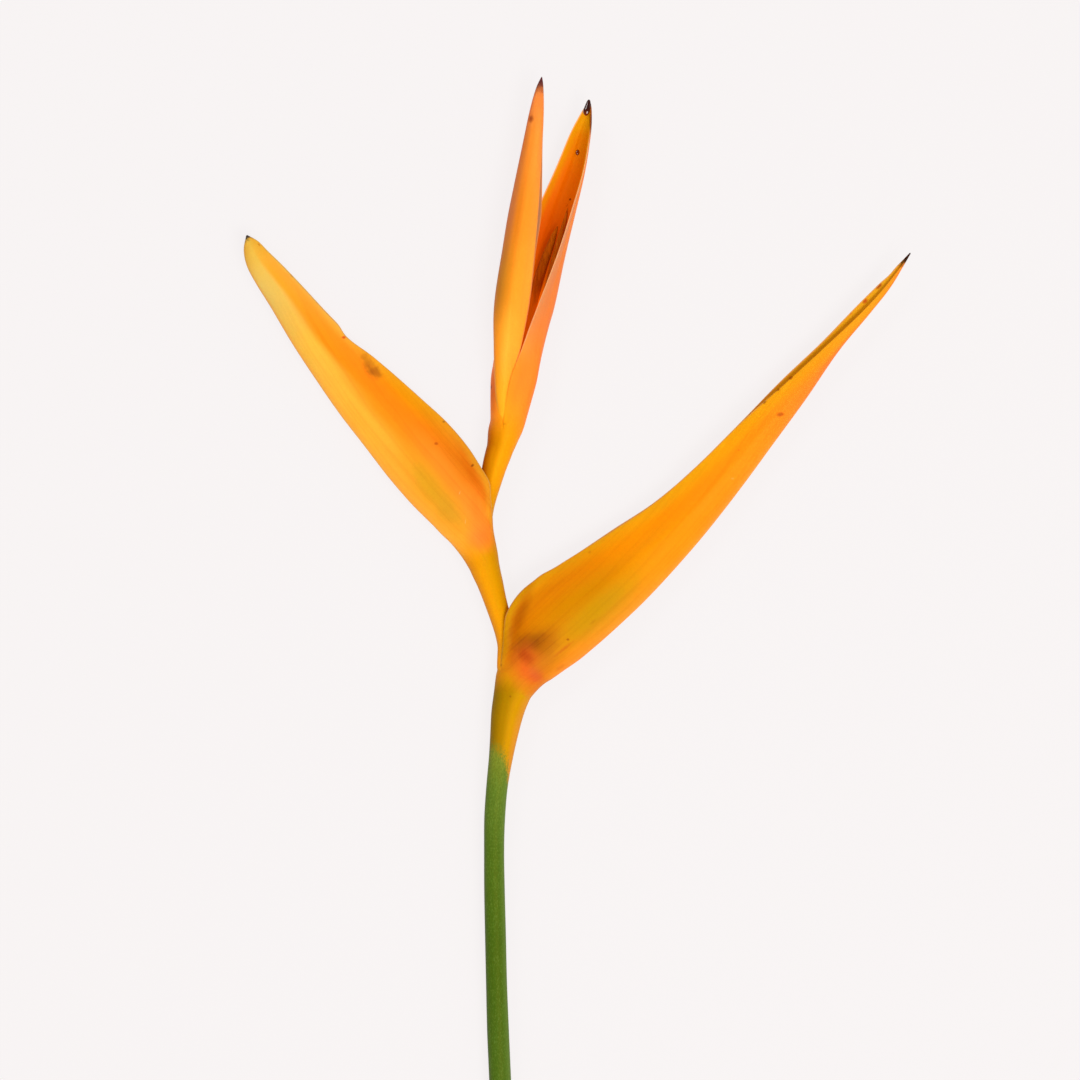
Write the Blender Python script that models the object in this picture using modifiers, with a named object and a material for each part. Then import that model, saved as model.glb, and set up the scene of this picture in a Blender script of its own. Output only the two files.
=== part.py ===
"""A cut heliconia flower, laid down: a stem that zigzags through its nodes, four boat-shaped bracts that clasp it,
and two closed flower buds that lie in the open bract. Metres, +Z up, resting on z = 0."""

import math

import bmesh
import bpy
from mathutils import Vector

# Sizes in millimetres. X and Y run from the lowest node, +Y towards the top bract, and Z from the stem's axis there.
MM = 0.001
AXIS_HEIGHT = 5.4       # the stem's axis at the lowest node, above the surface that the flower lies on
STEM_LENGTH = 160.0     # from the lowest node down to the cut
BRACT_WALL = 0.65
THIN_WALL_SHARE = 0.5   # near a tip, a wall is this share of the bract's half width
ORANGE_FROM = -26.0     # how far below the lowest node the stem's green turns to orange

# Fineness of the surfaces
BRACT_ROWS, BRACT_COLUMNS = 32, 16
STEM_SIDES, BUD_SIDES = 20, 10
PEDUNCLE_RINGS, INTERNODE_RINGS, BUD_RINGS = 24, 9, 12
BUD_STEP = 0.05         # share of a bud's length over which its direction is measured
SEAM_REACH = 0.01       # points of a rolled sheet's seam are this close or closer, and become one

# Shape of a bract's section, from 0 at the keel to 1 at the margin
BELLY_AT = 0.5
KEEL_CROWDING = 1.6

# Rows of a stem piece, from its lower end: left x, y, right x, y, half depth, axis z
PEDUNCLE = [
    (0.2, -STEM_LENGTH, 5.5, -STEM_LENGTH, 2.45, -3.35),
    (-1.2, -131.0, 4.0, -131.0, 2.40, -2.7),
    (-2.6, -98.7, 2.6, -98.7, 2.35, -1.95),
    (-3.4, -66.0, 1.5, -66.0, 2.30, -1.2),
    (-3.6, -38.6, 1.3, -38.6, 2.30, -0.65),
    (-2.9, -28.5, 2.4, -28.5, 2.35, -0.4),
    (-2.3, -20.0, 4.3, -20.3, 2.50, -0.2),
    (-1.7, -11.0, 7.0, -12.0, 2.90, -0.1),
    (-1.2, -7.8, 8.6, -9.7, 3.10, 0.0),
    (-0.6, -4.9, 9.6, -8.8, 3.30, 0.0),
]
INTERNODE_LOW = [
    (0.3, -5.2, 3.8, -6.6, 1.85, 0.0),
    (-0.1, -2.1, 3.6, -2.7, 1.95, 0.0),
    (-0.6, 0.7, 3.4, 0.6, 2.05, 0.0),
    (-1.2, 3.5, 3.1, 3.9, 2.10, 0.0),
    (-2.2, 6.4, 2.5, 7.8, 2.15, 0.0),
    (-3.7, 11.0, 1.2, 12.4, 2.30, 0.0),
    (-6.2, 16.6, 0.1, 18.4, 2.60, 0.0),
    (-7.5, 19.4, -0.6, 22.3, 2.90, 0.0),
    (-9.1, 21.6, -1.5, 27.1, 3.15, 0.0),
]
INTERNODE_MID = [
    (-5.1, 24.5, -2.1, 26.7, 1.85, 0.0),
    (-5.4, 29.2, -1.9, 29.6, 1.95, 0.0),
    (-5.3, 32.7, -1.3, 32.9, 2.10, 0.0),
    (-5.0, 36.6, -0.4, 36.0, 2.20, 0.0),
    (-4.1, 42.1, 1.3, 41.2, 2.40, 0.0),
    (-3.4, 45.5, 2.6, 44.4, 2.70, 0.0),
    (-2.9, 48.0, 3.4, 46.9, 3.00, 0.0),
    (-2.5, 50.2, 4.1, 48.7, 3.50, -0.1),
]
INTERNODE_TOP = [
    (-1.1, 49.9, 2.3, 49.1, 1.70, 0.3),
    (-1.15, 54.0, 2.4, 53.2, 1.80, 0.4),
    (-1.15, 57.4, 2.6, 57.0, 1.90, 0.5),
]

# Rows of a bract, from its base: keel x, y, z, margin x, y, z, half width at the belly, half width at the margins,
# and how full the side is between them: 1 runs straight from belly to margin, 3 stays wide and turns in late
BRACT_LOWEST = [
    (9.8, -8.5, 0.0, -0.4, -4.6, 0.0, 3.35, 2.00, 3.0),
    (12.0, -7.0, 0.0, -0.1, -1.2, 0.0, 3.70, 2.70, 3.0),
    (14.8, -4.9, 0.0, 0.4, 2.4, 0.0, 4.00, 3.00, 3.0),
    (17.8, -2.5, 0.0, 0.9, 6.0, 0.0, 4.20, 3.00, 2.6),
    (20.7, 0.2, 0.0, 1.8, 9.2, 0.0, 4.35, 2.90, 2.2),
    (24.4, 3.2, 0.0, 4.8, 13.6, 0.0, 4.45, 2.20, 1.6),
    (28.5, 7.1, 0.0, 9.4, 17.3, 0.0, 4.50, 1.60, 1.3),
    (33.4, 11.7, -0.3, 16.1, 21.6, -0.2, 4.55, 1.25, 1.1),
    (39.6, 18.4, -1.3, 26.0, 28.1, -1.1, 4.50, 1.15, 1.0),
    (46.9, 26.4, -1.8, 35.7, 34.4, -1.0, 4.40, 1.20, 1.0),
    (54.7, 36.5, -1.8, 45.4, 42.6, 0.0, 3.90, 1.40, 1.0),
    (62.5, 47.1, -1.5, 54.9, 52.1, 0.8, 3.30, 1.55, 1.0),
    (70.3, 57.9, -1.0, 64.4, 61.8, 1.5, 2.60, 1.55, 1.0),
    (77.8, 68.9, -0.2, 74.3, 71.0, 1.6, 1.70, 1.20, 1.0),
    (84.8, 77.2, 0.5, 82.2, 78.9, 1.8, 1.20, 0.95, 1.0),
    (89.9, 83.7, 1.0, 88.1, 85.0, 1.8, 0.85, 0.70, 1.0),
    (94.4, 91.1, 1.6, 94.0, 91.4, 1.7, 0.40, 0.35, 1.0),
]
BRACT_SECOND = [
    (-9.3, 21.8, 0.0, -1.7, 27.4, 0.0, 3.25, 1.95, 3.0),
    (-11.2, 24.0, 0.0, -1.7, 30.2, 0.0, 3.60, 2.70, 3.0),
    (-13.3, 26.0, 0.0, -1.9, 33.2, 0.0, 3.85, 3.00, 3.0),
    (-15.4, 28.1, 0.0, -2.1, 36.1, 0.0, 4.05, 3.10, 2.8),
    (-17.5, 30.4, 0.0, -2.4, 39.1, 0.0, 4.20, 3.20, 2.4),
    (-19.6, 32.9, 0.0, -4.6, 42.3, 0.0, 4.30, 2.50, 1.6),
    (-22.1, 35.9, 0.0, -7.6, 46.9, 0.0, 4.40, 1.60, 1.3),
    (-25.8, 40.3, -0.3, -12.2, 52.4, -0.3, 4.45, 1.25, 1.1),
    (-30.8, 46.7, -1.3, -17.5, 57.3, -1.3, 4.50, 1.15, 1.0),
    (-36.6, 54.3, -1.6, -23.9, 63.0, -1.6, 4.40, 1.10, 1.0),
    (-42.1, 62.1, -1.4, -31.3, 69.5, -1.4, 3.90, 1.10, 1.0),
    (-47.6, 70.4, -0.8, -38.9, 76.5, -0.8, 3.20, 1.10, 1.0),
    (-52.7, 78.7, -0.2, -45.5, 83.7, -0.2, 2.60, 1.05, 1.0),
    (-56.1, 84.2, 0.3, -49.9, 88.3, 0.3, 2.10, 1.00, 1.0),
    (-58.1, 88.1, 0.7, -53.4, 91.8, 0.7, 1.60, 0.90, 1.0),
    (-58.8, 91.8, 0.8, -55.4, 93.9, 0.8, 1.15, 0.75, 1.0),
    (-58.6, 94.4, 0.8, -57.6, 95.3, 0.8, 0.55, 0.45, 1.0),
]
BRACT_THIRD = [
    (1.8, 49.5, -3.7, 0.3, 50.7, 3.4, 3.40, 1.30, 2.6),
    (3.5, 53.1, -3.9, 0.0, 54.5, 3.6, 4.30, 1.45, 2.4),
    (4.4, 57.0, -4.0, -0.1, 58.0, 3.8, 4.90, 1.70, 2.2),
    (5.9, 62.6, -3.9, 0.7, 63.5, 3.9, 5.35, 2.60, 2.0),
    (7.5, 68.3, -3.6, 1.8, 69.2, 3.2, 5.20, 4.15, 1.6),
    (10.1, 75.4, -3.4, 3.7, 76.1, 2.8, 4.85, 5.85, 1.0),
    (11.6, 80.0, -3.2, 5.5, 80.7, 2.4, 4.50, 6.20, 1.0),
    (13.9, 91.5, -2.9, 9.4, 92.2, 1.9, 3.90, 6.00, 1.0),
    (16.3, 101.2, -2.3, 12.8, 101.9, 1.6, 3.50, 5.30, 1.0),
    (18.6, 110.2, -1.5, 16.4, 110.6, 1.5, 2.80, 4.00, 1.0),
    (20.3, 118.5, -0.6, 18.5, 118.8, 1.4, 2.10, 2.90, 1.0),
    (20.8, 123.3, 0.3, 20.0, 123.7, 1.2, 0.95, 1.20, 1.0),
    (20.7, 126.1, 0.7, 20.4, 126.4, 1.0, 0.40, 0.40, 1.0),
]
BRACT_TOP = [
    (-1.15, 57.8, 0.5, 2.7, 57.4, 0.5, 1.95, 0.95, 2.2),
    (-0.4, 62.6, 0.9, 3.1, 63.0, 0.9, 2.10, 1.00, 1.8),
    (0.0, 66.0, 1.7, 3.9, 66.5, 1.7, 2.20, 1.00, 1.4),
    (-1.3, 69.9, 2.8, 4.8, 70.2, 2.8, 2.60, 1.00, 1.2),
    (-1.4, 76.8, 3.1, 6.3, 76.8, 3.1, 3.00, 1.00, 1.0),
    (-0.9, 82.8, 3.2, 7.4, 82.8, 3.2, 3.10, 1.00, 1.0),
    (0.4, 91.1, 3.4, 8.2, 91.1, 3.4, 2.90, 1.00, 1.0),
    (1.7, 99.4, 3.4, 8.9, 99.4, 3.4, 2.60, 1.00, 1.0),
    (3.4, 107.6, 3.3, 9.5, 107.6, 3.3, 2.20, 1.00, 1.0),
    (5.2, 115.9, 3.2, 9.9, 115.9, 3.2, 1.70, 0.95, 1.0),
    (6.8, 123.7, 3.1, 10.2, 123.7, 3.1, 1.15, 0.80, 1.0),
    (8.3, 129.0, 3.0, 10.1, 129.0, 3.0, 0.65, 0.55, 1.0),
    (9.4, 131.5, 3.0, 9.9, 131.6, 3.0, 0.35, 0.35, 1.0),
]

# Rows of a flower bud, from its foot: x, y, z of its axis and its radius
BUD_LONG = [
    (5.0, 61.5, -1.9, 0.60),
    (5.6, 69.0, -1.8, 1.00),
    (7.0, 78.0, -1.6, 1.20),
    (9.4, 87.0, -1.3, 1.20),
    (11.9, 94.0, -1.0, 0.85),
    (13.3, 97.4, -0.8, 0.30),
]
BUD_SHORT = [
    (6.8, 63.0, -0.4, 0.50),
    (8.3, 72.0, -0.2, 0.70),
    (10.4, 81.0, 0.1, 0.75),
    (13.0, 91.5, 0.2, 0.75),
    (14.8, 98.0, 0.4, 0.55),
    (15.6, 101.5, 0.6, 0.25),
]

# Colour and roughness of each skin
GREEN_STEM = ((0.127, 0.242, 0.013, 1.0), 0.50)
ORANGE_STEM = ((0.913, 0.376, 0.007, 1.0), 0.45)
LOWEST_SKIN = ((1.0, 0.305, 0.007, 1.0), 0.42)
SECOND_SKIN = ((1.0, 0.283, 0.010, 1.0), 0.42)
THIRD_SKIN = ((0.956, 0.283, 0.013, 1.0), 0.40)
TOP_SKIN = ((1.0, 0.402, 0.032, 1.0), 0.42)
LONG_BUD_SKIN = ((0.262, 0.045, 0.001, 1.0), 0.50)
SHORT_BUD_SKIN = ((0.305, 0.060, 0.002, 1.0), 0.50)


def along(rows, share):
    """The row at this share of the way from the first row to the last, on a smooth curve through them all."""
    place = share * (len(rows) - 1)
    start = min(int(place), len(rows) - 2)
    t = place - start
    last = len(rows) - 1
    before, here, there, after = (rows[min(max(start + step, 0), last)] for step in (-1, 0, 1, 2))
    return [
        0.5 * (2 * b + (c - a) * t + (2 * a - 5 * b + 4 * c - d) * t**2 + (3 * b - a - 3 * c + d) * t**3)
        for a, b, c, d in zip(before, here, there, after)
    ]


def axis_direction(rows, share):
    """The way a bract runs at this share of its length, from the middle of its sections."""
    reach = 0.5 / (len(rows) - 1)
    ends = []
    for place in (max(share - reach, 0.0), min(share + reach, 1.0)):
        row = along(rows, place)
        ends.append((Vector(row[0:3]) + Vector(row[3:6])) / 2)
    return (ends[1] - ends[0]).normalized()


def bract_point(rows, share, across):
    """A point of a bract's outer face: across is 0 at one margin, 0.5 at the keel and 1 at the other margin."""
    row = along(rows, share)
    keel, margin = Vector(row[0:3]), Vector(row[3:6])
    belly, gap, fullness = row[6:9]
    side = axis_direction(rows, share).cross(margin - keel).normalized()
    signed = 2 * across - 1
    height = abs(signed) ** KEEL_CROWDING
    nose = math.sqrt(1 - (1 - min(height / BELLY_AT, 1)) ** 2)
    rise = max(0.0, (height - BELLY_AT) / (1 - BELLY_AT))
    half_width = nose * (belly + (gap - belly) * rise**fullness)
    return keel + (margin - keel) * height + side * math.copysign(half_width, signed)


def stem_point(row, turn):
    """A point of a stem's ring, at this share of a turn."""
    left, right = Vector((row[0], row[1], row[5])), Vector((row[2], row[3], row[5]))
    angle = 2 * math.pi * turn
    return (left + right) / 2 + (right - left) / 2 * math.cos(angle) + Vector((0, 0, row[4])) * math.sin(angle)


def bud_point(rows, share, turn):
    """A point of a bud's skin, at this share of its length and this share of a turn."""
    x, y, z, radius = along(rows, share)
    angle = 2 * math.pi * turn
    ahead = Vector(along(rows, min(share + BUD_STEP, 1.0))[0:3])
    behind = Vector(along(rows, max(share - BUD_STEP, 0.0))[0:3])
    sideways = (ahead - behind).cross(Vector((0, 0, 1))).normalized()
    return Vector((x, y, z)) + sideways * radius * math.cos(angle) + Vector((0, 0, radius)) * math.sin(angle)


def above_surface(point):
    """The point itself, or the point of the resting surface under it."""
    return Vector((point.x, point.y, max(point.z, -AXIS_HEIGHT)))


def add_skin(piece, name, colour, roughness):
    made = bpy.data.materials.new(name)
    made.use_nodes = True
    shader = made.node_tree.nodes["Principled BSDF"]
    shader.inputs["Base Color"].default_value = colour
    shader.inputs["Roughness"].default_value = roughness
    shader.inputs["Metallic"].default_value = 0.0
    piece.data.materials.append(made)


def sheet(name, rows, columns, point_at):
    """An object made from a grid primitive, each of whose points goes to point_at(share along, share across)."""
    bpy.ops.mesh.primitive_grid_add(x_subdivisions=rows, y_subdivisions=columns, size=1.0)
    piece = bpy.context.object
    piece.name = piece.data.name = name
    for vertex in piece.data.vertices:
        vertex.co = above_surface(point_at(vertex.co.x + 0.5, vertex.co.y + 0.5)) * MM
    piece.data.shade_smooth()
    return piece


def close_tube(piece):
    """Joins the seam of a sheet that is rolled into a tube, and fills its two ends."""
    mesh = bmesh.new()
    mesh.from_mesh(piece.data)
    bmesh.ops.remove_doubles(mesh, verts=mesh.verts, dist=SEAM_REACH * MM)
    bmesh.ops.holes_fill(mesh, edges=mesh.edges)
    bmesh.ops.recalc_face_normals(mesh, faces=mesh.faces)
    mesh.to_mesh(piece.data)
    mesh.free()


def add_bract(name, rows, skin):
    """A bract: its outer face as a sheet, with a wall inside it that thins towards the tip."""
    piece = sheet(name, BRACT_ROWS, BRACT_COLUMNS, lambda share, across: bract_point(rows, share, across))
    wall = piece.vertex_groups.new(name="wall")
    for index, vertex in enumerate(piece.data.vertices):
        share = (index % (BRACT_ROWS + 1)) / BRACT_ROWS
        belly = min(along(rows, share)[6:8])
        wall.add([index], min(1.0, THIN_WALL_SHARE * belly / BRACT_WALL), "REPLACE")
    thick = piece.modifiers.new("wall", "SOLIDIFY")
    thick.thickness = BRACT_WALL * MM
    thick.offset = -1.0
    thick.vertex_group = wall.name
    add_skin(piece, name, *skin)
    return piece


def add_stem():
    """The peduncle and the zigzag rachis, one piece: each internode starts on the shoulder of the one below."""
    rings = [along(PEDUNCLE, i / (PEDUNCLE_RINGS - 1)) for i in range(PEDUNCLE_RINGS)]
    for internode in (INTERNODE_LOW, INTERNODE_MID, INTERNODE_TOP):
        rings += [along(internode, i / (INTERNODE_RINGS - 1)) for i in range(INTERNODE_RINGS)]
    last = len(rings) - 1
    piece = sheet("stem", last, STEM_SIDES, lambda share, turn: stem_point(rings[round(share * last)], turn))
    close_tube(piece)
    add_skin(piece, "stem green", *GREEN_STEM)
    add_skin(piece, "stem orange", *ORANGE_STEM)
    for face in piece.data.polygons:
        face.material_index = 1 if face.center.y > ORANGE_FROM * MM else 0
    return piece


def add_bud(name, rows, skin):
    piece = sheet(name, BUD_RINGS, BUD_SIDES, lambda share, turn: bud_point(rows, share, turn))
    close_tube(piece)
    add_skin(piece, name, *skin)
    return piece


def centre_on_origin(pieces, carrier):
    """Moves the carrier so that the origin is at the middle of the flower's box, on the resting surface."""
    graph = bpy.context.evaluated_depsgraph_get()
    corners = [Vector(corner) for piece in pieces for corner in piece.evaluated_get(graph).bound_box]
    low = [min(corner[i] for corner in corners) for i in range(2)]
    high = [max(corner[i] for corner in corners) for i in range(2)]
    carrier.location = (-(low[0] + high[0]) / 2, -(low[1] + high[1]) / 2, AXIS_HEIGHT * MM)


def main():
    for old in list(bpy.data.objects):
        bpy.data.objects.remove(old)
    pieces = [
        add_stem(),
        add_bract("bract_lowest", BRACT_LOWEST, LOWEST_SKIN),
        add_bract("bract_second", BRACT_SECOND, SECOND_SKIN),
        add_bract("bract_third", BRACT_THIRD, THIRD_SKIN),
        add_bract("bract_top", BRACT_TOP, TOP_SKIN),
        add_bud("flower_bud_long", BUD_LONG, LONG_BUD_SKIN),
        add_bud("flower_bud_short", BUD_SHORT, SHORT_BUD_SKIN),
    ]
    flower = bpy.data.collections.new("heliconia_flower")
    bpy.context.scene.collection.children.link(flower)
    carrier = bpy.data.objects.new("flower_frame", None)
    flower.objects.link(carrier)
    for piece in pieces:
        for collection in list(piece.users_collection):
            collection.objects.unlink(piece)
        flower.objects.link(piece)
        piece.parent = carrier
    centre_on_origin(pieces, carrier)


main()
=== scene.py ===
"""A cut heliconia flower, laid down and seen from above.

A mottled green stem turns orange and zigzags through its nodes. Four boat-shaped bracts grow out of it. The
open one holds two flower buds and a drop of sap, and has a cap of dark sap on its tip."""

import math

import bmesh
import bpy
from mathutils import Matrix, Vector


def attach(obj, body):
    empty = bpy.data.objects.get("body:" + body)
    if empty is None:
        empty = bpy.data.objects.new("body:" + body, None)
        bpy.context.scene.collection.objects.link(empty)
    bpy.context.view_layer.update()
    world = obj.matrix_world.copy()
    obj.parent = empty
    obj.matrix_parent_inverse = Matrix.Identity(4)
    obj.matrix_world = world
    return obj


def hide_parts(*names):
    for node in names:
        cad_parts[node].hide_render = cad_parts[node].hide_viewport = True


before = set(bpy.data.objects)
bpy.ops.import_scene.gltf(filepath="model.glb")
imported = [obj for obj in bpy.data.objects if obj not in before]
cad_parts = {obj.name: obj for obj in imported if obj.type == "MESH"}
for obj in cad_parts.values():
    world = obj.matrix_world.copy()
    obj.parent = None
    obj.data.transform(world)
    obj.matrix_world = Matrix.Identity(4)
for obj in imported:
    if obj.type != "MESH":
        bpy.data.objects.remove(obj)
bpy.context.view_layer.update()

# Rows are in millimetres from the lowest node, on the stem's axis there, with +Y towards the top bract
MM = 0.001
AXIS_HEIGHT = 5.4
NODE_PLACE = Vector((-17.803, 14.199, AXIS_HEIGHT))     # the lowest node in the frame

# The photo's view: straight down on this place, this many millimetres across
VIEW_CENTRE = Vector((9.2, 25.3, 0.0))
VIEW_WIDTH = 248.4
LENS = 150.0
SENSOR = 36.0

# How finely the pieces are made
ROWS_PER_STEP = 8       # rows laid between two listed rows of a bract
COLUMNS = 44
HALF = COLUMNS // 2     # the column on the keel
STEM_SIDES = 28
RINGS_PER_STEP = 5
BUD_SIDES = 14
BUD_RINGS_PER_STEP = 4
SAP_SIDES = 16

# A bract's wall and the shape of its section, from 0 at the keel to 1 at the margin
WALL = 0.42
BELLY_AT = 0.5
TIP_WALL_SHARE = 0.45   # near a tip, the wall is this share of the bract's half width
EDGE_WALL_SHARE = 0.42  # at the margin, the wall is this share of its thickness
FULL_WALL_FROM = 2.0    # this far from the margin, the wall has all its thickness
TRIM_REACH = 2.8        # a margin that grows or falls short is drawn out over this width
JOINED_WITHIN = 0.02    # points closer than this become one

# The skins: how bright a white matt surface facing the camera looks in this light, and the veins and grain
LIGHT_LEVEL = 1.30
BRIGHTEST = 0.95
VEIN_SPACING = 0.62
VEIN_WAVER = 2.2
VEIN_TINT = (0.55, 0.16, 0.01, 1.0)
STREAK_TINT = (1.0, 0.82, 0.5, 1.0)
MARGIN_LINE = (0.34, 0.10)      # the pale line on a margin fades between these distances from it
BRACT_GRAIN = 0.5
STEM_GRAIN = 0.45
BLACK = (0.0, 0.0, 0.0, 1.0)

# Heights along the flower between which the stem's skin gives way to its cut face, the buds take a painted
# glow that stands in for light through the wall, and the sap cap turns from dark to red brown
CUT_FACE = (-159.72, -159.88)
WALL_LIT = (86.0, 77.0)
SAP_FOOT = (124.3, 122.7)

# The studio, in metres. Lamps: place, size, power
KEY_LAMP = ((0.30, -0.30, 0.95), 0.55, 8.2)
FILL_LAMP = ((-0.45, 0.60, 0.85), 0.4, 2.6)
LAMPS_AIM = (0, 0.03, 0)
SKY = (1.0, 0.99, 0.98, 1.0)
SKY_STRENGTH = 0.66
ROOM_STRENGTH = 0.05            # what the wax reflects is darker than the sky that lights it
BACKDROP = (0.939, 0.905, 0.905, 1.0)
FLOOR_SIZE = 8.0
FLOOR_HEIGHT = -0.00002
PAPER = (0.06, 0.059, 0.058, 1.0)
PAPER_GLOW = (0.855, 0.823, 0.823, 1.0)

# Rows of the stem, from its cut end: left x, y, right x, y, half depth, axis z
STEM = [
    (0.2, -160, 5.5, -160, 2.45, -2.95),
    (-0.5, -146, 4.75, -146, 2.42, -2.9),
    (-1.2, -131, 4, -131, 2.4, -2.6),
    (-1.95, -115, 3.25, -115, 2.38, -2.3),
    (-2.55, -98.7, 2.55, -98.7, 2.35, -1.95),
    (-3, -88.3, 2.1, -88.3, 2.33, -1.7),
    (-3.25, -77.3, 1.65, -77.3, 2.31, -1.45),
    (-3.48, -66.2, 1.4, -66.2, 2.3, -1.2),
    (-3.68, -55.2, 1.12, -55.2, 2.3, -0.95),
    (-3.7, -46, 0.98, -46, 2.3, -0.78),
    (-3.66, -38.6, 1.2, -38.6, 2.3, -0.65),
    (-3.2, -31.5, 1.8, -31.5, 2.33, -0.45),
    (-2.6, -24.8, 3, -24.9, 2.4, -0.3),
    (-2.28, -19.3, 4.2, -19.6, 2.52, -0.2),
    (-2.05, -14.5, 5.55, -14.7, 2.75, -0.12),
    (-1.6, -10.8, 7.05, -11.1, 2.95, -0.05),
    (-1.15, -7.6, 8.55, -9, 3.05, 0),
    (-0.7, -4.9, 8.6, -7, 3, 0),
    (-0.72, -3.8, 6, -4.8, 2, 0),
    (-0.7, -2.6, 4.3, -3.2, 1.55, 0),
    (-0.62, -0.9, 3.6, -1.4, 1.6, 0),
    (-0.62, 1, 3.35, 0.9, 1.85, 0),
    (-1.15, 3.5, 3.05, 4, 2.1, 0),
    (-2, 6.2, 2.5, 7.6, 2.15, 0),
    (-3.75, 11, 1.4, 12.2, 2.3, 0),
    (-5.1, 14.4, 0.75, 15.6, 2.42, 0),
    (-6.3, 16.9, 0.1, 18.6, 2.6, 0),
    (-7.55, 19.7, -0.6, 22.4, 2.88, 0),
    (-8.6, 22, -1.35, 26.4, 3, 0),
    (-6.9, 24.2, -1.55, 27.2, 2.5, 0),
    (-5.6, 26.2, -1.62, 28.2, 2.05, 0),
    (-5.35, 29.3, -1.75, 30, 1.95, 0),
    (-5.25, 32.7, -1.22, 33.1, 2.1, 0),
    (-5, 36.6, -0.38, 36, 2.2, 0),
    (-4.15, 42, 1.35, 41.2, 2.45, 0),
    (-3.65, 44.6, 2.5, 44.1, 2.7, 0),
    (-3, 47.2, 3.4, 46.7, 2.98, 0),
    (-2.3, 50, 4, 49.4, 3.2, -0.1),
    (-1.9, 51, 3.4, 50.6, 2.5, 0.1),
    (-1.3, 52.2, 2.5, 51.8, 1.85, 0.35),
    (-1.15, 54.2, 2.4, 53.6, 1.8, 0.4),
    (-1.15, 57.2, 2.6, 56.8, 1.88, 0.5),
    (-0.9, 59.3, 2.55, 59.1, 1.7, 0.65),
    (-0.3, 60.6, 2.1, 60.5, 1.1, 0.75),
]

# Rows of a bract, from its base: keel x, y, z, near margin x, y, z, far margin x, y, z, half width at the
# belly, how late the side turns in to the margin, and how far its ring has split open. The last two are 1
# where they aren't listed
LOWEST = [
    (6.9, -11.2, 0, -1.5, -10.8, 0, -1.5, -10.8, 0, 2.8, 1, 0),
    (8.8, -9.05, 0, -1.18, -7.6, 0, -1.18, -7.6, 0, 3.14, 1, 0),
    (10.25, -7.75, 0, -0.74, -4.9, 0, -0.74, -4.9, 0, 3.36, 1, 0),
    (12.15, -6.55, 0, 0.15, -3, 1.45, 0.15, -3, -1.2, 3.7, 3, 0.35),
    (15, -4.55, 0, 0.65, 0.9, 2.5, 0.65, 0.9, -2.5, 4, 3, 0.85),
    (18.05, -2.45, 0, 0.9, 4.8, 3, 0.9, 4.8, -3, 4.2, 2.8),
    (20.95, -0.1, 0, 1.6, 8.7, 2.95, 1.6, 8.7, -2.95, 4.35, 2.3),
    (24.65, 3.1, 0, 4.65, 13.3, 2.25, 4.65, 13.3, -2.25, 4.45, 1.7),
    (28.75, 6.85, 0, 9.55, 17.2, 1.6, 9.5, 17.1, -1.6, 4.5, 1.3),
    (33.65, 11.55, -0.3, 16.4, 21.4, 1, 16.2, 21.2, -1.4, 4.55, 1.1),
    (39.85, 18.15, -1.2, 26.4, 27.8, 0, 26.1, 27.8, -2.2, 4.5),
    (47.1, 26.5, -1.6, 35.9, 34.2, 0.2, 35.8, 34.2, -2.2, 4.4),
    (54.9, 36.5, -1.7, 45.65, 42.75, 1.4, 45.7, 42.7, -1.4, 3.9),
    (62.7, 47.2, -1.5, 55.3, 52.3, 1.9, 55.3, 52.3, -0.7, 3.3),
    (70.4, 57.9, -1, 65.4, 61.4, 2.1, 64.75, 62.1, 0.6, 2.6),
    (77.8, 68.8, -0.2, 75.1, 70.3, 1.9, 74.2, 71, 0.8, 1.7),
    (84.8, 77.2, 0.5, 82.9, 77.7, 2, 81.9, 79, 1.1, 1.15),
    (90.1, 83.9, 1, 88.5, 83.8, 1.9, 87.8, 84.9, 1.2, 0.8),
    (94.3, 91.2, 1.6, 94.2, 91.3, 1.7, 94.2, 91.3, 1.6, 0.15),
]
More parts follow.
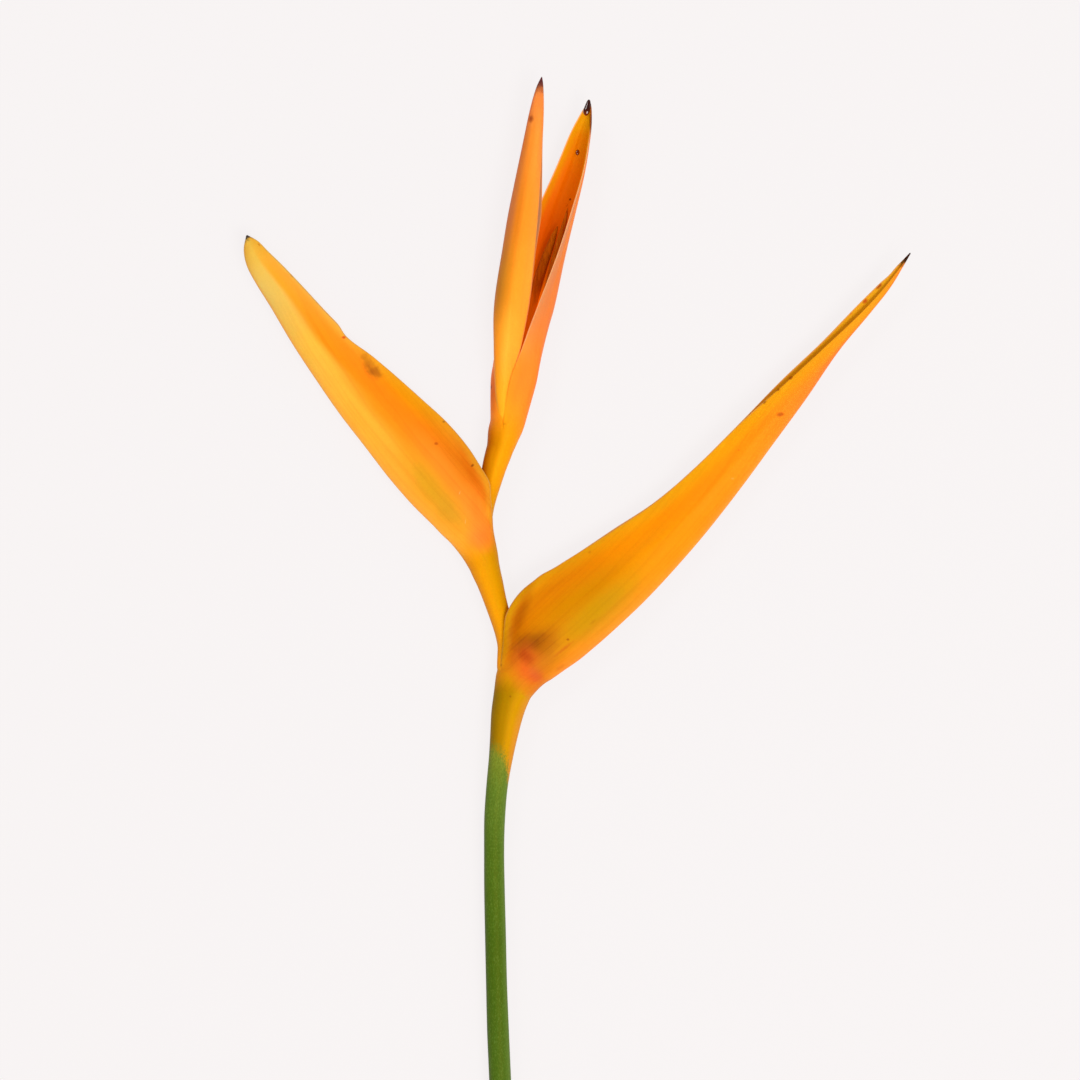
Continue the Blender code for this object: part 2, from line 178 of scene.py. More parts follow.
SECOND = [
    (-6.2, 17, 0, -0.05, 18.5, 0, -0.05, 18.5, 0, 2.48, 1, 0),
    (-7.68, 19.65, 0, -0.55, 22.4, 0, -0.55, 22.4, 0, 2.96, 1, 0),
    (-9.25, 22, 0, -1.32, 26.4, 0, -1.32, 26.4, 0, 3.22, 1, 0),
    (-11.4, 24.6, 0, -1.6, 28.5, 1.2, -1.6, 28.5, -1.2, 3.6, 3, 0.35),
    (-13.4, 26.5, 0, -1.8, 31.2, 2.5, -1.8, 31.2, -2.5, 3.85, 3, 0.85),
    (-15.5, 28.7, 0, -2.05, 34.8, 3, -2.05, 34.8, -3, 4.05, 2.8),
    (-17.75, 30.9, 0, -2.4, 38.6, 3.15, -2.4, 38.6, -3.15, 4.2, 2.4),
    (-20, 33.15, 0, -4.6, 42.4, 2.5, -4.6, 42.4, -2.5, 4.3, 1.6),
    (-22.45, 35.85, 0, -7.6, 47, 1.6, -7.6, 47, -1.6, 4.4, 1.3),
    (-26.15, 40.25, -0.3, -12.3, 52.5, 0.9, -12.1, 52.3, -1.5, 4.45, 1.1),
    (-31.1, 46.7, -1.2, -17.6, 57.4, -0.2, -17.4, 57.2, -2.4, 4.5),
    (-36.9, 54.2, -1.5, -24.1, 63.2, -0.5, -24.1, 63.2, -2.7, 4.4),
    (-42.3, 62, -1.4, -31.2, 69.3, -0.3, -31.2, 69.3, -2.5, 3.9),
    (-47.75, 70.3, -0.8, -38.8, 76.4, 0.3, -38.8, 76.6, -1.9, 3.2),
    (-52.7, 78.7, -0.2, -45.5, 83.7, 0.8, -45.5, 83.8, -1.2, 2.6),
    (-56.1, 84.2, 0.3, -49.9, 88.3, 1.3, -49.9, 88.4, -0.7, 2.1),
    (-58.2, 88.3, 0.7, -53.3, 91.7, 1.6, -53.3, 91.7, -0.2, 1.6),
    (-58.9, 92, 0.8, -55.6, 94, 1.5, -55.6, 94, 0.1, 1.15),
    (-58.3, 95.3, 0.8, -58.1, 95.4, 0.9, -58.1, 95.4, 0.8, 0.2),
]
THIRD = [
    (-0.4, 45, -2.6, -0.4, 45, 2.6, -0.4, 45, 2.6, 2.9, 1, 0),
    (0.2, 47, -3.02, 0.2, 47, 3.02, 0.2, 47, 3.02, 3.24, 1, 0),
    (1, 49.7, -3.6, 0.8, 49.8, 3.5, 0.8, 49.8, 3.5, 3.75, 1, 0),
    (2.55, 52, -3.85, 0.8, 52.2, 3.45, 0.6, 52.3, 3.4, 4.05, 1.6, 0.4),
    (3.6, 54.4, -3.95, 1.1, 55, 3.2, -0.1, 55.3, 2.7, 4.5, 2.2, 0.9),
    (4.4, 57.6, -4, 1.55, 58.3, 3.1, -0.25, 58.6, 2.4, 5.05, 2.4),
    (5.45, 62.6, -3.9, 2.65, 63.1, 3.15, -0.45, 63.6, 2.4, 5.75, 2),
    (7.5, 68.3, -3.6, 4.7, 68.4, 3.7, -1.4, 69.6, 1.6, 5.45, 1.6),
    (10.1, 75.4, -3.4, 7.4, 75.4, 6.2, -0.2, 77.4, -1.4, 4.95),
    (11.6, 80, -3.2, 9.4, 80.4, 7, 1.4, 81.8, -2.2, 4.5),
    (13.9, 91.5, -2.9, 13.5, 91.3, 6, 5.2, 93.4, -2.2, 3.9),
    (16.2, 101.2, -2.3, 16.6, 101, 5.2, 9.2, 103, -2, 3.4),
    (18.6, 110.2, -1.5, 19.3, 110.2, 3.9, 12.9, 111.2, -0.9, 2.45),
    (20.3, 118.5, -0.6, 20.7, 118.6, 3.1, 16.2, 119.1, -0.5, 1.65),
    (20.9, 123.3, 0.3, 20.9, 123.6, 1.9, 18.9, 124, 0.5, 0.75),
    (20.7, 126.1, 0.8, 20.6, 126.2, 0.95, 20.5, 126.2, 0.9, 0.15),
]
TOP = [
    (-0.45, 48.6, 1, 1.1, 48.4, 1, 1.1, 48.4, 1, 1.3, 1, 0),
    (-0.5, 53.6, 1.2, 1.9, 53.4, 1.2, 1.9, 53.4, 1.2, 1.95, 1, 0),
    (-0.98, 58, 1.3, 2.4, 58, 1.3, 2.4, 58, 1.3, 1.85, 1, 0),
    (-1.25, 62, 1.55, 3.1, 62.2, 1.9, 3.1, 62.3, 1, 1.95, 2, 0.5),
    (-1.4, 66, 2.1, 3.85, 66.2, 2.95, 3.95, 66.6, 1.2, 2.35, 1.4),
    (-1.45, 69.9, 2.7, 4.95, 69.9, 3.7, 5, 70.2, 1.8, 2.75, 1.2),
    (-1.5, 76.8, 3.1, 6.3, 76.8, 4.1, 6.4, 76.8, 2.1, 3),
    (-0.95, 82.8, 3.2, 7.2, 82.8, 4.2, 7.3, 82.8, 2.2, 3.1),
    (0.4, 91.1, 3.4, 8, 91.1, 4.4, 8.2, 91.1, 2.4, 2.9),
    (1.75, 99.4, 3.4, 8.75, 99.4, 4.4, 9.5, 99.6, 2.4, 2.6),
    (3.4, 107.6, 3.3, 9.3, 107.6, 4.3, 9.7, 107.7, 2.3, 2.2),
    (5.15, 115.9, 3.2, 9.75, 115.9, 4.1, 9.8, 115.9, 2.3, 1.7),
    (6.8, 123.7, 3.1, 10.1, 123.7, 3.9, 10.1, 123.7, 2.3, 1.15),
    (8.3, 129, 3, 10, 129, 3.4, 10, 129, 2.6, 0.65),
    (9.55, 131.5, 3, 9.7, 131.5, 3.05, 9.7, 131.5, 3, 0.12),
]

# Rows of a flower bud, from its foot: x, y, z of its axis and its radius
LONG_BUD = [
    (5, 61.5, -1.9, 0.6),
    (5.6, 69, -1.8, 1),
    (7, 78, -1.6, 1.2),
    (9.4, 87, -1.3, 1.2),
    (11.9, 94, -1, 0.85),
    (13.3, 97.6, -0.8, 0.12),
]
SHORT_BUD = [
    (6.8, 63, -0.4, 0.5),
    (8.3, 72, -0.2, 0.7),
    (10.4, 81, 0.1, 0.75),
    (13, 91.5, 0.2, 0.75),
    (14.8, 98, 0.4, 0.55),
    (15.6, 101.7, 0.6, 0.1),
]

# The sap on the open bract: its cap from below upwards (x, y, z, half width, half depth), and the drop inside
SAP_TIP = [
    (19.7, 122.7, 1.35, 0.15, 0.12),
    (19.75, 123.1, 1.4, 0.62, 0.4),
    (19.85, 123.8, 1.45, 0.8, 0.52),
    (20.05, 124.5, 1.42, 0.74, 0.5),
    (20.2, 125.2, 1.35, 0.6, 0.45),
    (20.35, 125.8, 1.28, 0.5, 0.4),
    (20.45, 126.3, 1.22, 0.36, 0.32),
    (20.5, 126.5, 1.2, 0.12, 0.12),
]
SAP_TIP_HEADING = -0.22
SAP_TIP_WAY = Vector((0.22, 0.975, 0.0))
SAP_DROP_PLACE = (17.83, 114.57)
SAP_DROP_SIZE = (0.70, 0.50, 0.38)      # half its length and width, and its height
# The drop's rings, as shares: how wide, and how high
SAP_DROP_RINGS = ((0.9, -0.5), (1.0, 0.0), (0.96, 0.3), (0.82, 0.6), (0.55, 0.86), (0.22, 0.98))


def filled(rows):
    """A bract's rows with the last two values, which are 1 where they aren't listed."""
    return [(*row, 1, 1)[:12] for row in rows]


def along(rows, share):
    """The row at this share of the way from the first row to the last, on a smooth curve through them all."""
    last = len(rows) - 1
    place = share * last
    start = min(int(place), last - 1)
    t = place - start
    before, here, there, after = (rows[min(max(start + step, 0), last)] for step in (-1, 0, 1, 2))
    return [
        0.5 * (2 * b + (c - a) * t + (2 * a - 5 * b + 4 * c - d) * t**2 + (3 * b - a - 3 * c + d) * t**3)
        for a, b, c, d in zip(before, here, there, after)
    ]


def smooth_step(value, start, end):
    """0 before start and 1 after end, with a soft change between them."""
    t = min(max((value - start) / (end - start), 0.0), 1.0)
    return t * t * (3 - 2 * t)


def hump(value, centre, reach):
    """A soft hump: 1 at its centre and 0 from this far away."""
    return 1 - smooth_step(abs(value - centre), 0.0, reach)


def in_frame(place):
    return (Vector(place) + NODE_PLACE) * MM


# Hand moves


def clear_choice():
    bpy.ops.object.select_all(action="DESELECT")


def take(piece):
    clear_choice()
    piece.select_set(True)
    bpy.context.view_layer.objects.active = piece


def named(name):
    """The piece that was just added, with its name."""
    piece = bpy.context.object
    piece.name = piece.data.name = name
    return piece


def choose_all():
    bpy.ops.mesh.select_all(action="SELECT")


def choose_none():
    bpy.ops.mesh.select_all(action="DESELECT")


def open_piece(piece):
    """Starts editing a piece by its points, with nothing chosen, and returns its mesh."""
    take(piece)
    bpy.ops.object.mode_set(mode="EDIT")
    bpy.ops.mesh.select_mode(type="VERT")
    choose_none()
    mesh = bmesh.from_edit_mesh(piece.data)
    mesh.verts.ensure_lookup_table()
    return mesh


def close_piece():
    bpy.ops.object.mode_set(mode="OBJECT")


def choose(mesh, indices):
    choose_none()
    for index in indices:
        mesh.verts[index].select = True
    mesh.select_flush_mode()


def shift(offset):
    bpy.ops.transform.translate(value=offset)


def stretch(factors, centre):
    bpy.ops.transform.resize(value=factors, center_override=centre)


def turn(angle, axis, centre):
    """Turns what is chosen. With no window the operator turns the other way, hence the minus."""
    bpy.ops.transform.rotate(value=-angle, orient_axis=axis, center_override=centre)


def turn_into(stance, centre):
    """Turns what is chosen about all three axes."""
    for angle, axis in zip(stance.to_euler("XYZ"), "XYZ"):
        turn(angle, axis, centre)


def finish_surface(piece, levels=1):
    """Finer faces and smooth shading."""
    take(piece)
    finer = piece.modifiers.new("finer", "SUBSURF")
    finer.levels = finer.render_levels = levels
    bpy.ops.object.modifier_apply(modifier=finer.name)
    bpy.ops.object.shade_smooth()


def set_values(piece, name, values):
    made = piece.data.attributes.new(name, "FLOAT", "POINT")
    made.data.foreach_set("value", values)


# Bracts


def edges_of(row):
    """The keel and both margins of a bract's row."""
    return Vector(row[0:3]), Vector(row[3:6]), Vector(row[6:9])


def middle_of(row):
    keel, near, far = edges_of(row)
    return keel / 2 + (near + far) / 4


def bract_direction(rows, share):
    """The way a bract runs at this share of its length, from the middle of its sections."""
    reach = 0.5 / (len(rows) - 1)
    behind = middle_of(along(rows, max(share - reach, 0.0)))
    ahead = middle_of(along(rows, min(share + reach, 1.0)))
    return (ahead - behind).normalized()


def bract_stance(rows, share):
    """How a row of a bract stands: its keel, its turn, and both margins measured in its own directions."""
    keel, near, far = edges_of(along(rows, share))
    up = ((near + far) / 2 - keel).normalized()
    side = bract_direction(rows, share).cross(up).normalized()
    stance = Matrix((up.cross(side), -side, up))
    return keel, stance.transposed(), stance @ (near - keel), stance @ (far - keel)


def keel_nose(height):
    """How wide the rounded keel is at a height, as a share of the belly."""
    return math.sqrt(1 - (1 - min(height / BELLY_AT, 1)) ** 2)


def section_half_width(height, belly, margin, fullness, split):
    """Half the width of a section, from the keel's nose to the belly and on to the margin or its ring."""
    rise = max(0.0, (height - BELLY_AT) / (1 - BELLY_AT))
    open_side = belly + (margin - belly) * rise**fullness
    ring_side = belly * (2 * math.sqrt(max(height * (1 - height), 0.0)) if height > BELLY_AT else 1)
    return keel_nose(height) * (open_side * split + ring_side * (1 - split))


def fold_blank(mesh, row_points):
    """Folds the flat blank along its keel, until its section is one high and two wide.

    Returns the height of each column."""
    heights = []
    for column in range(COLUMNS + 1):
        signed = 2 * column / COLUMNS - 1
        height = (1 - math.cos(math.pi * signed)) / 2
        heights.append(height)
        choose(mesh, [points[column] for points in row_points])
        shift((0, math.copysign(keel_nose(height), signed) - signed, height))
    return heights


def press_side(mesh, points, heights, place, section, margin, hand):
    """Stretches one side of a row to its belly and its margin, then presses it in or open by hand."""
    belly, fullness, split = section
    columns = range(HALF + 1, COLUMNS + 1) if hand > 0 else range(HALF)
    choose(mesh, [points[column] for column in columns])
    stretch((1, belly * MM, margin.z * MM), place)
    for column in columns:
        point = mesh.verts[points[column]]
        width = section_half_width(heights[column], belly, hand * margin.y, fullness, split)
        point.co.y = hand * width * MM
        point.co.x = place.x + margin.x * heights[column] * MM


def lay_bract(name, rows, relief, trim):
    """Folds a flat blank along its keel, sizes and presses it row by row, then turns each row into its place.

    relief gives how far the wall stands out at a share of the length and a distance from the margin, and trim
    how far the margin on a side grows or falls short there."""
    row_count = ROWS_PER_STEP * (len(rows) - 1)
    bpy.ops.mesh.primitive_grid_add(x_subdivisions=row_count, y_subdivisions=COLUMNS, size=2.0)
    piece = named(name)
    mesh = open_piece(piece)
    in_column = row_count + 1
    row_points = [[column * in_column + row for column in range(COLUMNS + 1)] for row in range(in_column)]
    heights = fold_blank(mesh, row_points)

    *_, near, far = bract_stance(rows, 0.5)
    near_side = 1 if near.y > far.y else -1
    facts = {fact: {} for fact in ("along", "edge", "keel", "side", "sideways", "wall")}
    travelled, last_middle = 0.0, None
    for row, points in enumerate(row_points):
        share = row / row_count
        values = along(rows, share)
        keel, turning, near, far = bract_stance(rows, share)
        place = Vector((2 * share - 1, 0, 0))
        press_side(mesh, points, heights, place, values[9:12], near, near_side)
        press_side(mesh, points, heights, place, values[9:12], far, -near_side)

        # Lengths over the section, from the margins and from the keel
        spots = [mesh.verts[index].co.copy() for index in points]
        steps = [(there - here).length / MM for here, there in zip(spots, spots[1:])]
        middle = middle_of(values)
        travelled += (middle - last_middle).length if last_middle else 0.0
        last_middle = middle
        for column, index in enumerate(points):
            from_edge = sum(steps[:column]) if column <= HALF else sum(steps[column:])
            from_keel = sum(steps[column:HALF]) if column <= HALF else sum(steps[HALF:column])
            side = near_side * (2 * column / COLUMNS - 1)
            thinning = EDGE_WALL_SHARE + (1 - EDGE_WALL_SHARE) * smooth_step(from_edge, 0.0, FULL_WALL_FROM)
            facts["along"][index] = travelled
            facts["edge"][index] = from_edge
            facts["keel"][index] = from_keel
            facts["side"][index] = side
            facts["wall"][index] = min(thinning, TIP_WALL_SHARE * values[9] / WALL)

            # The wall's relief, square to the section, and the trim of its margin
            low, high = spots[max(column - 1, 0)], spots[min(column + 1, COLUMNS)]
            outward = Vector((0, high.z - low.z, low.y - high.y)).normalized()
            growth = trim(share, side) * (1 - smooth_step(from_edge, 0.0, TRIM_REACH))
            offset = outward * relief(share, from_edge) + Vector((0, 0, growth))
            mesh.verts[index].co = spots[column] + offset * MM

        # The row is turned and set in its place
        choose(mesh, points)
        turn_into(turning, place)
        shift((keel + NODE_PLACE) * MM - place)

        # How far each point is to the left or right of its row's middle, as on the stem
        sideways = [mesh.verts[index].co.x for index in points]
        low, high = min(sideways), max(sideways)
        for index, x in zip(points, sideways):
            facts["sideways"][index] = (2 * x - low - high) / max(high - low, 0.1 * MM)

    for point in mesh.verts:
        point.co.z = max(point.co.z, 0.0)
    choose_all()
    bpy.ops.mesh.flip_normals()
    close_piece()
    walls = facts.pop("wall")
    for fact, values in facts.items():
        set_values(piece, fact, [values[index] for index in range(len(piece.data.vertices))])
    set_values(piece, "inside", [0.0] * len(piece.data.vertices))
    thin = piece.vertex_groups.new(name="wall")
    for index, weight in walls.items():
        thin.add([index], weight, "REPLACE")
    join_doubles(piece)
    add_wall(piece)
    finish_surface(piece)
    return piece


def join_doubles(piece):
    """Joins the two margins where the base is still a closed ring, and the last row at the tip."""
    open_piece(piece)
    choose_all()
    bpy.ops.mesh.remove_doubles(threshold=JOINED_WITHIN * MM)
    close_piece()


def add_wall(piece):
    """Gives the sheet its thickness, and marks the faces inside it."""
    outer_count = len(piece.data.vertices)
    wall = piece.modifiers.new("wall", "SOLIDIFY")
    wall.thickness = WALL * MM
    wall.offset = -1.0
    wall.vertex_group = "wall"
    bpy.ops.object.modifier_apply(modifier=wall.name)
    inside = piece.data.attributes["inside"]
    for index in range(outer_count, len(piece.data.vertices)):
        inside.data[index].value = 1.0


def lowest_relief(share, edge):
    """A rolled rim with a groove beside it where the bract clasps the stem, and a faint ripple to the tip."""
    clasp = smooth_step(share, 0.12, 0.20) * (1 - smooth_step(share, 0.40, 0.50))
    rim = 0.36 * hump(edge, 0.8, 1.4) - 0.50 * hump(edge, 2.9, 2.5)
    bead = 0.07 * hump(edge, 0.4, 0.9) * smooth_step(share, 0.2, 0.4)
    ripple = 0.05 * math.sin(38 * share) * hump(edge, 0.0, 3.0) * smooth_step(share, 0.5, 0.7)
    return clasp * rim + bead + ripple


def lowest_trim(share, side):
    """A small rise and dip of the near margin past the clasp, and a nick in the far one near the tip."""
    if side > 0:
        return 0.16 * hump(share, 0.444, 0.020) - 0.14 * hump(share, 0.472, 0.014)
    return -0.28 * hump(share, 0.955, 0.014)


def second_relief(share, edge):
    clasp = smooth_step(share, 0.16, 0.26) * (1 - smooth_step(share, 0.42, 0.54))
    rim = 0.34 * hump(edge, 0.9, 1.5) - 0.36 * hump(edge, 2.9, 2.4)
    return clasp * rim + 0.06 * hump(edge, 0.4, 0.9)


def second_trim(share, side):
    """The dent that both margins have beyond the middle, steep towards the tip."""
    dent = 0.694
    steep, gentle = 0.017, 0.046
    return -0.78 * hump(share, dent, steep if share > dent else gentle)


def third_relief(share, edge):
    return 0.06 * hump(edge, 0.3, 0.8) * smooth_step(share, 0.45, 0.55)


def top_relief(share, edge):
    return 0.05 * hump(edge, 0.4, 0.9)


def even_trim(share, side):
    return 0.0


# Stem, buds and sap


def pull_tube(name, sides, rings):
    """Pulls a circle up through all rings and caps both ends.

    A ring is its centre, its half width, its half depth and its turn about Z."""
    bpy.ops.mesh.primitive_circle_add(vertices=sides, radius=1.0, rotation=(math.pi / 2, 0, 0))
    piece = named(name)
    bpy.ops.object.transform_apply(location=False, rotation=True, scale=False)
    open_piece(piece)
    choose_all()
    centre, width, depth, heading = Vector((0, 0, 0)), 1.0, 1.0, 0.0
    for ring, (next_centre, next_width, next_depth, next_heading) in enumerate(rings):
        if ring:
            bpy.ops.mesh.extrude_region_move(TRANSFORM_OT_translate={"value": (0, 0, 0)})
        turn(-heading, "Z", centre)
        stretch((next_width / width, 1, next_depth / depth), centre)
        turn(next_heading, "Z", centre)
        shift(next_centre - centre)
        centre, width, depth, heading = next_centre, next_width, next_depth, next_heading
    choose_none()
    bpy.ops.mesh.select_mode(type="EDGE")
    bpy.ops.mesh.select_non_manifold(extend=False)
    bpy.ops.mesh.fill_holes(sides=0)
    choose_all()
    bpy.ops.mesh.normals_make_consistent(inside=False)
    close_piece()
    return piece


def stem_rings():
    rings = []
    count = RINGS_PER_STEP * (len(STEM) - 1)
    for ring in range(count + 1):
        left_x, left_y, right_x, right_y, depth, height = along(STEM, ring / count)
        left, right = Vector((left_x, left_y, height)), Vector((right_x, right_y, height))
        across = right - left
        heading = math.atan2(across.y, across.x)
        rings.append((in_frame((left + right) / 2), across.length / 2 * MM, depth * MM, heading))
    return rings


def add_stem():
    """The green stem and the orange zigzag that the bracts sit on, pulled up as one tube."""
    rings = stem_rings()
    piece = pull_tube("stem_fine", STEM_SIDES, rings)
    sides = []
    for point in piece.data.vertices:
        centre, width, _, heading = min(rings, key=lambda ring: (ring[0] - point.co).length_squared)
        outward = (point.co - centre).dot(Vector((math.cos(heading), math.sin(heading), 0)))
        sides.append(min(max(outward / width, -1.0), 1.0))
        point.co.z = max(point.co.z, 0.0)
    set_values(piece, "sideways", sides)
    finish_surface(piece)
    return piece


def add_bud(name, rows):
    rings = []
    count = BUD_RINGS_PER_STEP * (len(rows) - 1)
    thinnest, step = 0.08, 0.05
    for ring in range(count + 1):
        share = ring / count
        *place, radius = along(rows, share)
        ahead = along(rows, min(share + step, 1.0))
        behind = along(rows, max(share - step, 0.0))
        way = Vector(ahead[0:3]) - Vector(behind[0:3])
        radius = max(radius, thinnest) * MM
        rings.append((in_frame(place), radius, radius, math.atan2(way.y, way.x) - math.pi / 2))
    piece = pull_tube(name, BUD_SIDES, rings)
    finish_surface(piece)
    return piece


def add_sap_tip():
    """The dark sticky cap on the open bract's tip, pulled up like a bud."""
    rings = [(in_frame(place), width * MM, depth * MM, SAP_TIP_HEADING) for *place, width, depth in SAP_TIP]
    piece = pull_tube("sap_tip_fine", SAP_SIDES, rings)
    finish_surface(piece, 2)
    return piece


def add_sap_drop(host):
    """A clear drop on the open bract's inner wall, raised ring by ring and laid along the wall."""
    length, width, height = SAP_DROP_SIZE
    rings = []
    for share, rise in SAP_DROP_RINGS:
        rings.append((Vector((0, rise * height, 0)) * MM, share * width * MM, share * length * MM, 0.0))
    piece = pull_tube("sap_drop_fine", SAP_SIDES, rings)
    set_values(piece, "rim", [math.hypot(p.co.x / width, p.co.z / length) / MM for p in piece.data.vertices])
    above = in_frame((*SAP_DROP_PLACE, 0))
    above.z = 0.1
    _, spot, normal, _ = host.ray_cast(above, (0, 0, -1))
    lengthwise = (SAP_TIP_WAY - normal * SAP_TIP_WAY.dot(normal)).normalized()
    open_piece(piece)
    choose_all()
    turn_into(Matrix((lengthwise.cross(normal), normal, lengthwise)).transposed(), (0, 0, 0))
    shift(spot)
    close_piece()
    finish_surface(piece, 2)
    return piece


# Materials


def seen(red, green, blue):
    """The surface colour that shows as this screen colour in the scene's light."""
    linear = [((v / 255 + 0.055) / 1.055) ** 2.4 if v > 10 else v / 255 / 12.92 for v in (red, green, blue)]
    return (*(min(v / LIGHT_LEVEL, BRIGHTEST) for v in linear), 1.0)


def stops(*rows):
    """Stops of a ramp from rows of a place and a screen colour."""
    return [(place, seen(*colour)) for place, *colour in rows]


class Bench:
    """Places nodes in one material, group or world and joins them."""

    def __init__(self, tree):
        self.tree = tree

    def feed(self, node, inputs):
        """Joins or sets inputs of a node."""
        for key, value in dict(inputs).items():
            if isinstance(value, bpy.types.NodeSocket):
                self.tree.links.new(value, node.inputs[key])
            else:
                node.inputs[key].default_value = value
        return node

    def place(self, kind, inputs=(), **settings):
        made = self.tree.nodes.new(kind)
        for name, value in settings.items():
            setattr(made, name, value)
        return self.feed(made, inputs)

    def use(self, group, **inputs):
        made = self.place("ShaderNodeGroup", node_tree=group)
        return self.feed(made, {name.replace("_", " ").capitalize(): value for name, value in inputs.items()})

    def calc(self, operation, *values):
        return self.place("ShaderNodeMath", dict(enumerate(values)), operation=operation).outputs[0]

    def plus(self, first, second):
        return self.calc("ADD", first, second)

    def minus(self, first, second):
        return self.calc("SUBTRACT", first, second)

    def times(self, first, second):
        return self.calc("MULTIPLY", first, second)

    def over(self, first, second):
        return self.calc("DIVIDE", first, second)

    def fade(self, value, start, end, low=0.0, high=1.0):
        """low before start and high after end, with a soft change between them."""
        inputs = {0: value, 1: start, 2: end, 3: low, 4: high}
        return self.place("ShaderNodeMapRange", inputs, interpolation_type="SMOOTHSTEP").outputs[0]

    def mix(self, factor, below, above, way="MIX"):
        inputs = {0: factor, 6: below, 7: above}
        return self.place("ShaderNodeMix", inputs, data_type="RGBA", blend_type=way).outputs[2]

    def ramp(self, value, stops):
        made = self.place("ShaderNodeValToRGB", {0: value})
        made.color_ramp.interpolation = "EASE"
        points = made.color_ramp.elements
        for index, (place, colour) in enumerate(stops):
            point = points[index] if index < 2 else points.new(place)
            point.position = place
            point.color = colour
        return made.outputs[0]

    def noise(self, vector, size, detail=2.0):
        """Noise whose grains are about this many units of the vector across."""
        inputs = {"Vector": vector, "Scale": 1 / size, "Detail": detail}
        return self.place("ShaderNodeTexNoise", inputs).outputs["Fac"]

    def waver(self, noise, amount):
        """The noise moved to lie around 0, and this many times as strong."""
        return self.times(self.minus(noise, 0.5), amount)

    def part(self, vector, axis):
        return self.place("ShaderNodeSeparateXYZ", {0: vector}).outputs[axis]

    def pair(self, x, y):
        return self.place("ShaderNodeCombineXYZ", {0: x, 1: y}).outputs[0]

    def drawn_out(self, vector, share):
        """The vector with its grains drawn out along the flower."""
        return self.place("ShaderNodeMapping", {"Vector": vector, "Scale": (1.0, share, 1.0)}).outputs[0]

    def value_of(self, name):
        return self.place("ShaderNodeAttribute", attribute_name=name).outputs["Fac"]

    def bump(self, strength, distance, height):
        inputs = {"Strength": strength, "Distance": distance, "Height": height}
        return self.place("ShaderNodeBump", inputs).outputs[0]


NUMBER, VECTOR, COLOUR = "NodeSocketFloat", "NodeSocketVector", "NodeSocketColor"


def new_group(name, inputs, outputs):
    """An empty node group with named inputs and outputs, its bench, and its input and output nodes."""
    group = bpy.data.node_groups.new(name, "ShaderNodeTree")
    for way, sockets in (("INPUT", inputs), ("OUTPUT", outputs)):
        for title, kind in sockets:
            group.interface.new_socket(name=title, in_out=way, socket_type=kind)
    bench = Bench(group)
    return group, bench, bench.place("NodeGroupInput").outputs, bench.place("NodeGroupOutput")


def make_place_group():
    """Turns object coordinates into millimetres from the lowest node."""
    group, bench, given, out = new_group("place on the flower", [("Object", VECTOR)], [("Place", VECTOR)])
    inputs = {0: given["Object"], 1: (1000, 1000, 1000), 2: -NODE_PLACE}
    scaled = bench.place("ShaderNodeVectorMath", inputs, operation="MULTIPLY_ADD")
    bench.feed(out, {"Place": scaled.outputs[0]})
    return group


def make_spot_group():
    """A soft-edged patch at a place on the flower, longer than it is wide, turned, with a ragged outline."""
    inputs = [("Place", VECTOR), ("Centre", VECTOR), ("Turn", NUMBER), ("Length", NUMBER), ("Width", NUMBER)]
    inputs += [("Softness", NUMBER), ("Raggedness", NUMBER), ("Grain", NUMBER)]
    group, bench, given, out = new_group("soft spot", inputs, [("Mask", NUMBER)])
    away = bench.place("ShaderNodeVectorMath", {0: given["Place"], 1: given["Centre"]}, operation="SUBTRACT")
    inputs = {"Vector": away.outputs[0], "Angle": bench.times(given["Turn"], -math.pi / 180)}
    turned = bench.place("ShaderNodeVectorRotate", inputs, rotation_type="Z_AXIS").outputs[0]
    long_way = bench.over(bench.part(turned, "X"), given["Length"])
    wide_way = bench.over(bench.part(turned, "Y"), given["Width"])
    flat = bench.pair(long_way, wide_way)
    distance = bench.place("ShaderNodeVectorMath", {0: flat}, operation="LENGTH").outputs["Value"]
    inputs = {"Vector": given["Place"], "Scale": given["Grain"], "Detail": 4.0}
    grains = bench.place("ShaderNodeTexNoise", inputs).outputs["Fac"]
    reach = bench.plus(distance, bench.waver(grains, given["Raggedness"]))
    mask = bench.fade(reach, 1.0, bench.minus(1.0, given["Softness"]))
    bench.feed(out, {"Mask": mask})
    return group


def make_vein_group():
    """Fine veins that run the length of a bract at a steady spacing across it, and broad streaks."""
    inputs = [("Across", NUMBER), ("Along", NUMBER), ("Spacing", NUMBER), ("Waver", NUMBER)]
    group, bench, given, out = new_group("veins", inputs, [("Lines", NUMBER), ("Streaks", NUMBER)])
    drift = bench.pair(bench.times(given["Along"], 0.05), given["Across"])
    moved = bench.plus(given["Across"], bench.waver(bench.noise(drift, 1.0), given["Waver"]))
    count = bench.over(moved, given["Spacing"])
    fine = bench.pair(count, bench.times(given["Along"], 0.012))
    broad = bench.pair(count, bench.times(given["Along"], 0.03))
    lines = bench.fade(bench.noise(fine, 1.1, 1.0), 0.42, 0.68)
    streaks = bench.fade(bench.noise(broad, 5.0, 3.0), 0.3, 0.7)
    bench.feed(out, {"Lines": lines, "Streaks": streaks})
    return group


def make_grain_group():
    """The fine uneven tone of fresh waxy tissue, in a small and a large grain."""
    outputs = [("Tone", NUMBER), ("Height", NUMBER)]
    group, bench, given, out = new_group("waxy grain", [("Place", VECTOR), ("Size", NUMBER)], outputs)
    inputs = {"Vector": given["Place"], "Scale": bench.over(1.0, given["Size"]), "Detail": 3.0}
    small = bench.place("ShaderNodeTexNoise", inputs).outputs["Fac"]
    large = bench.noise(given["Place"], 9.0)
    tone = bench.plus(bench.times(small, 0.5), bench.times(large, 0.5))
    bench.feed(out, {"Tone": tone, "Height": small})
    return group


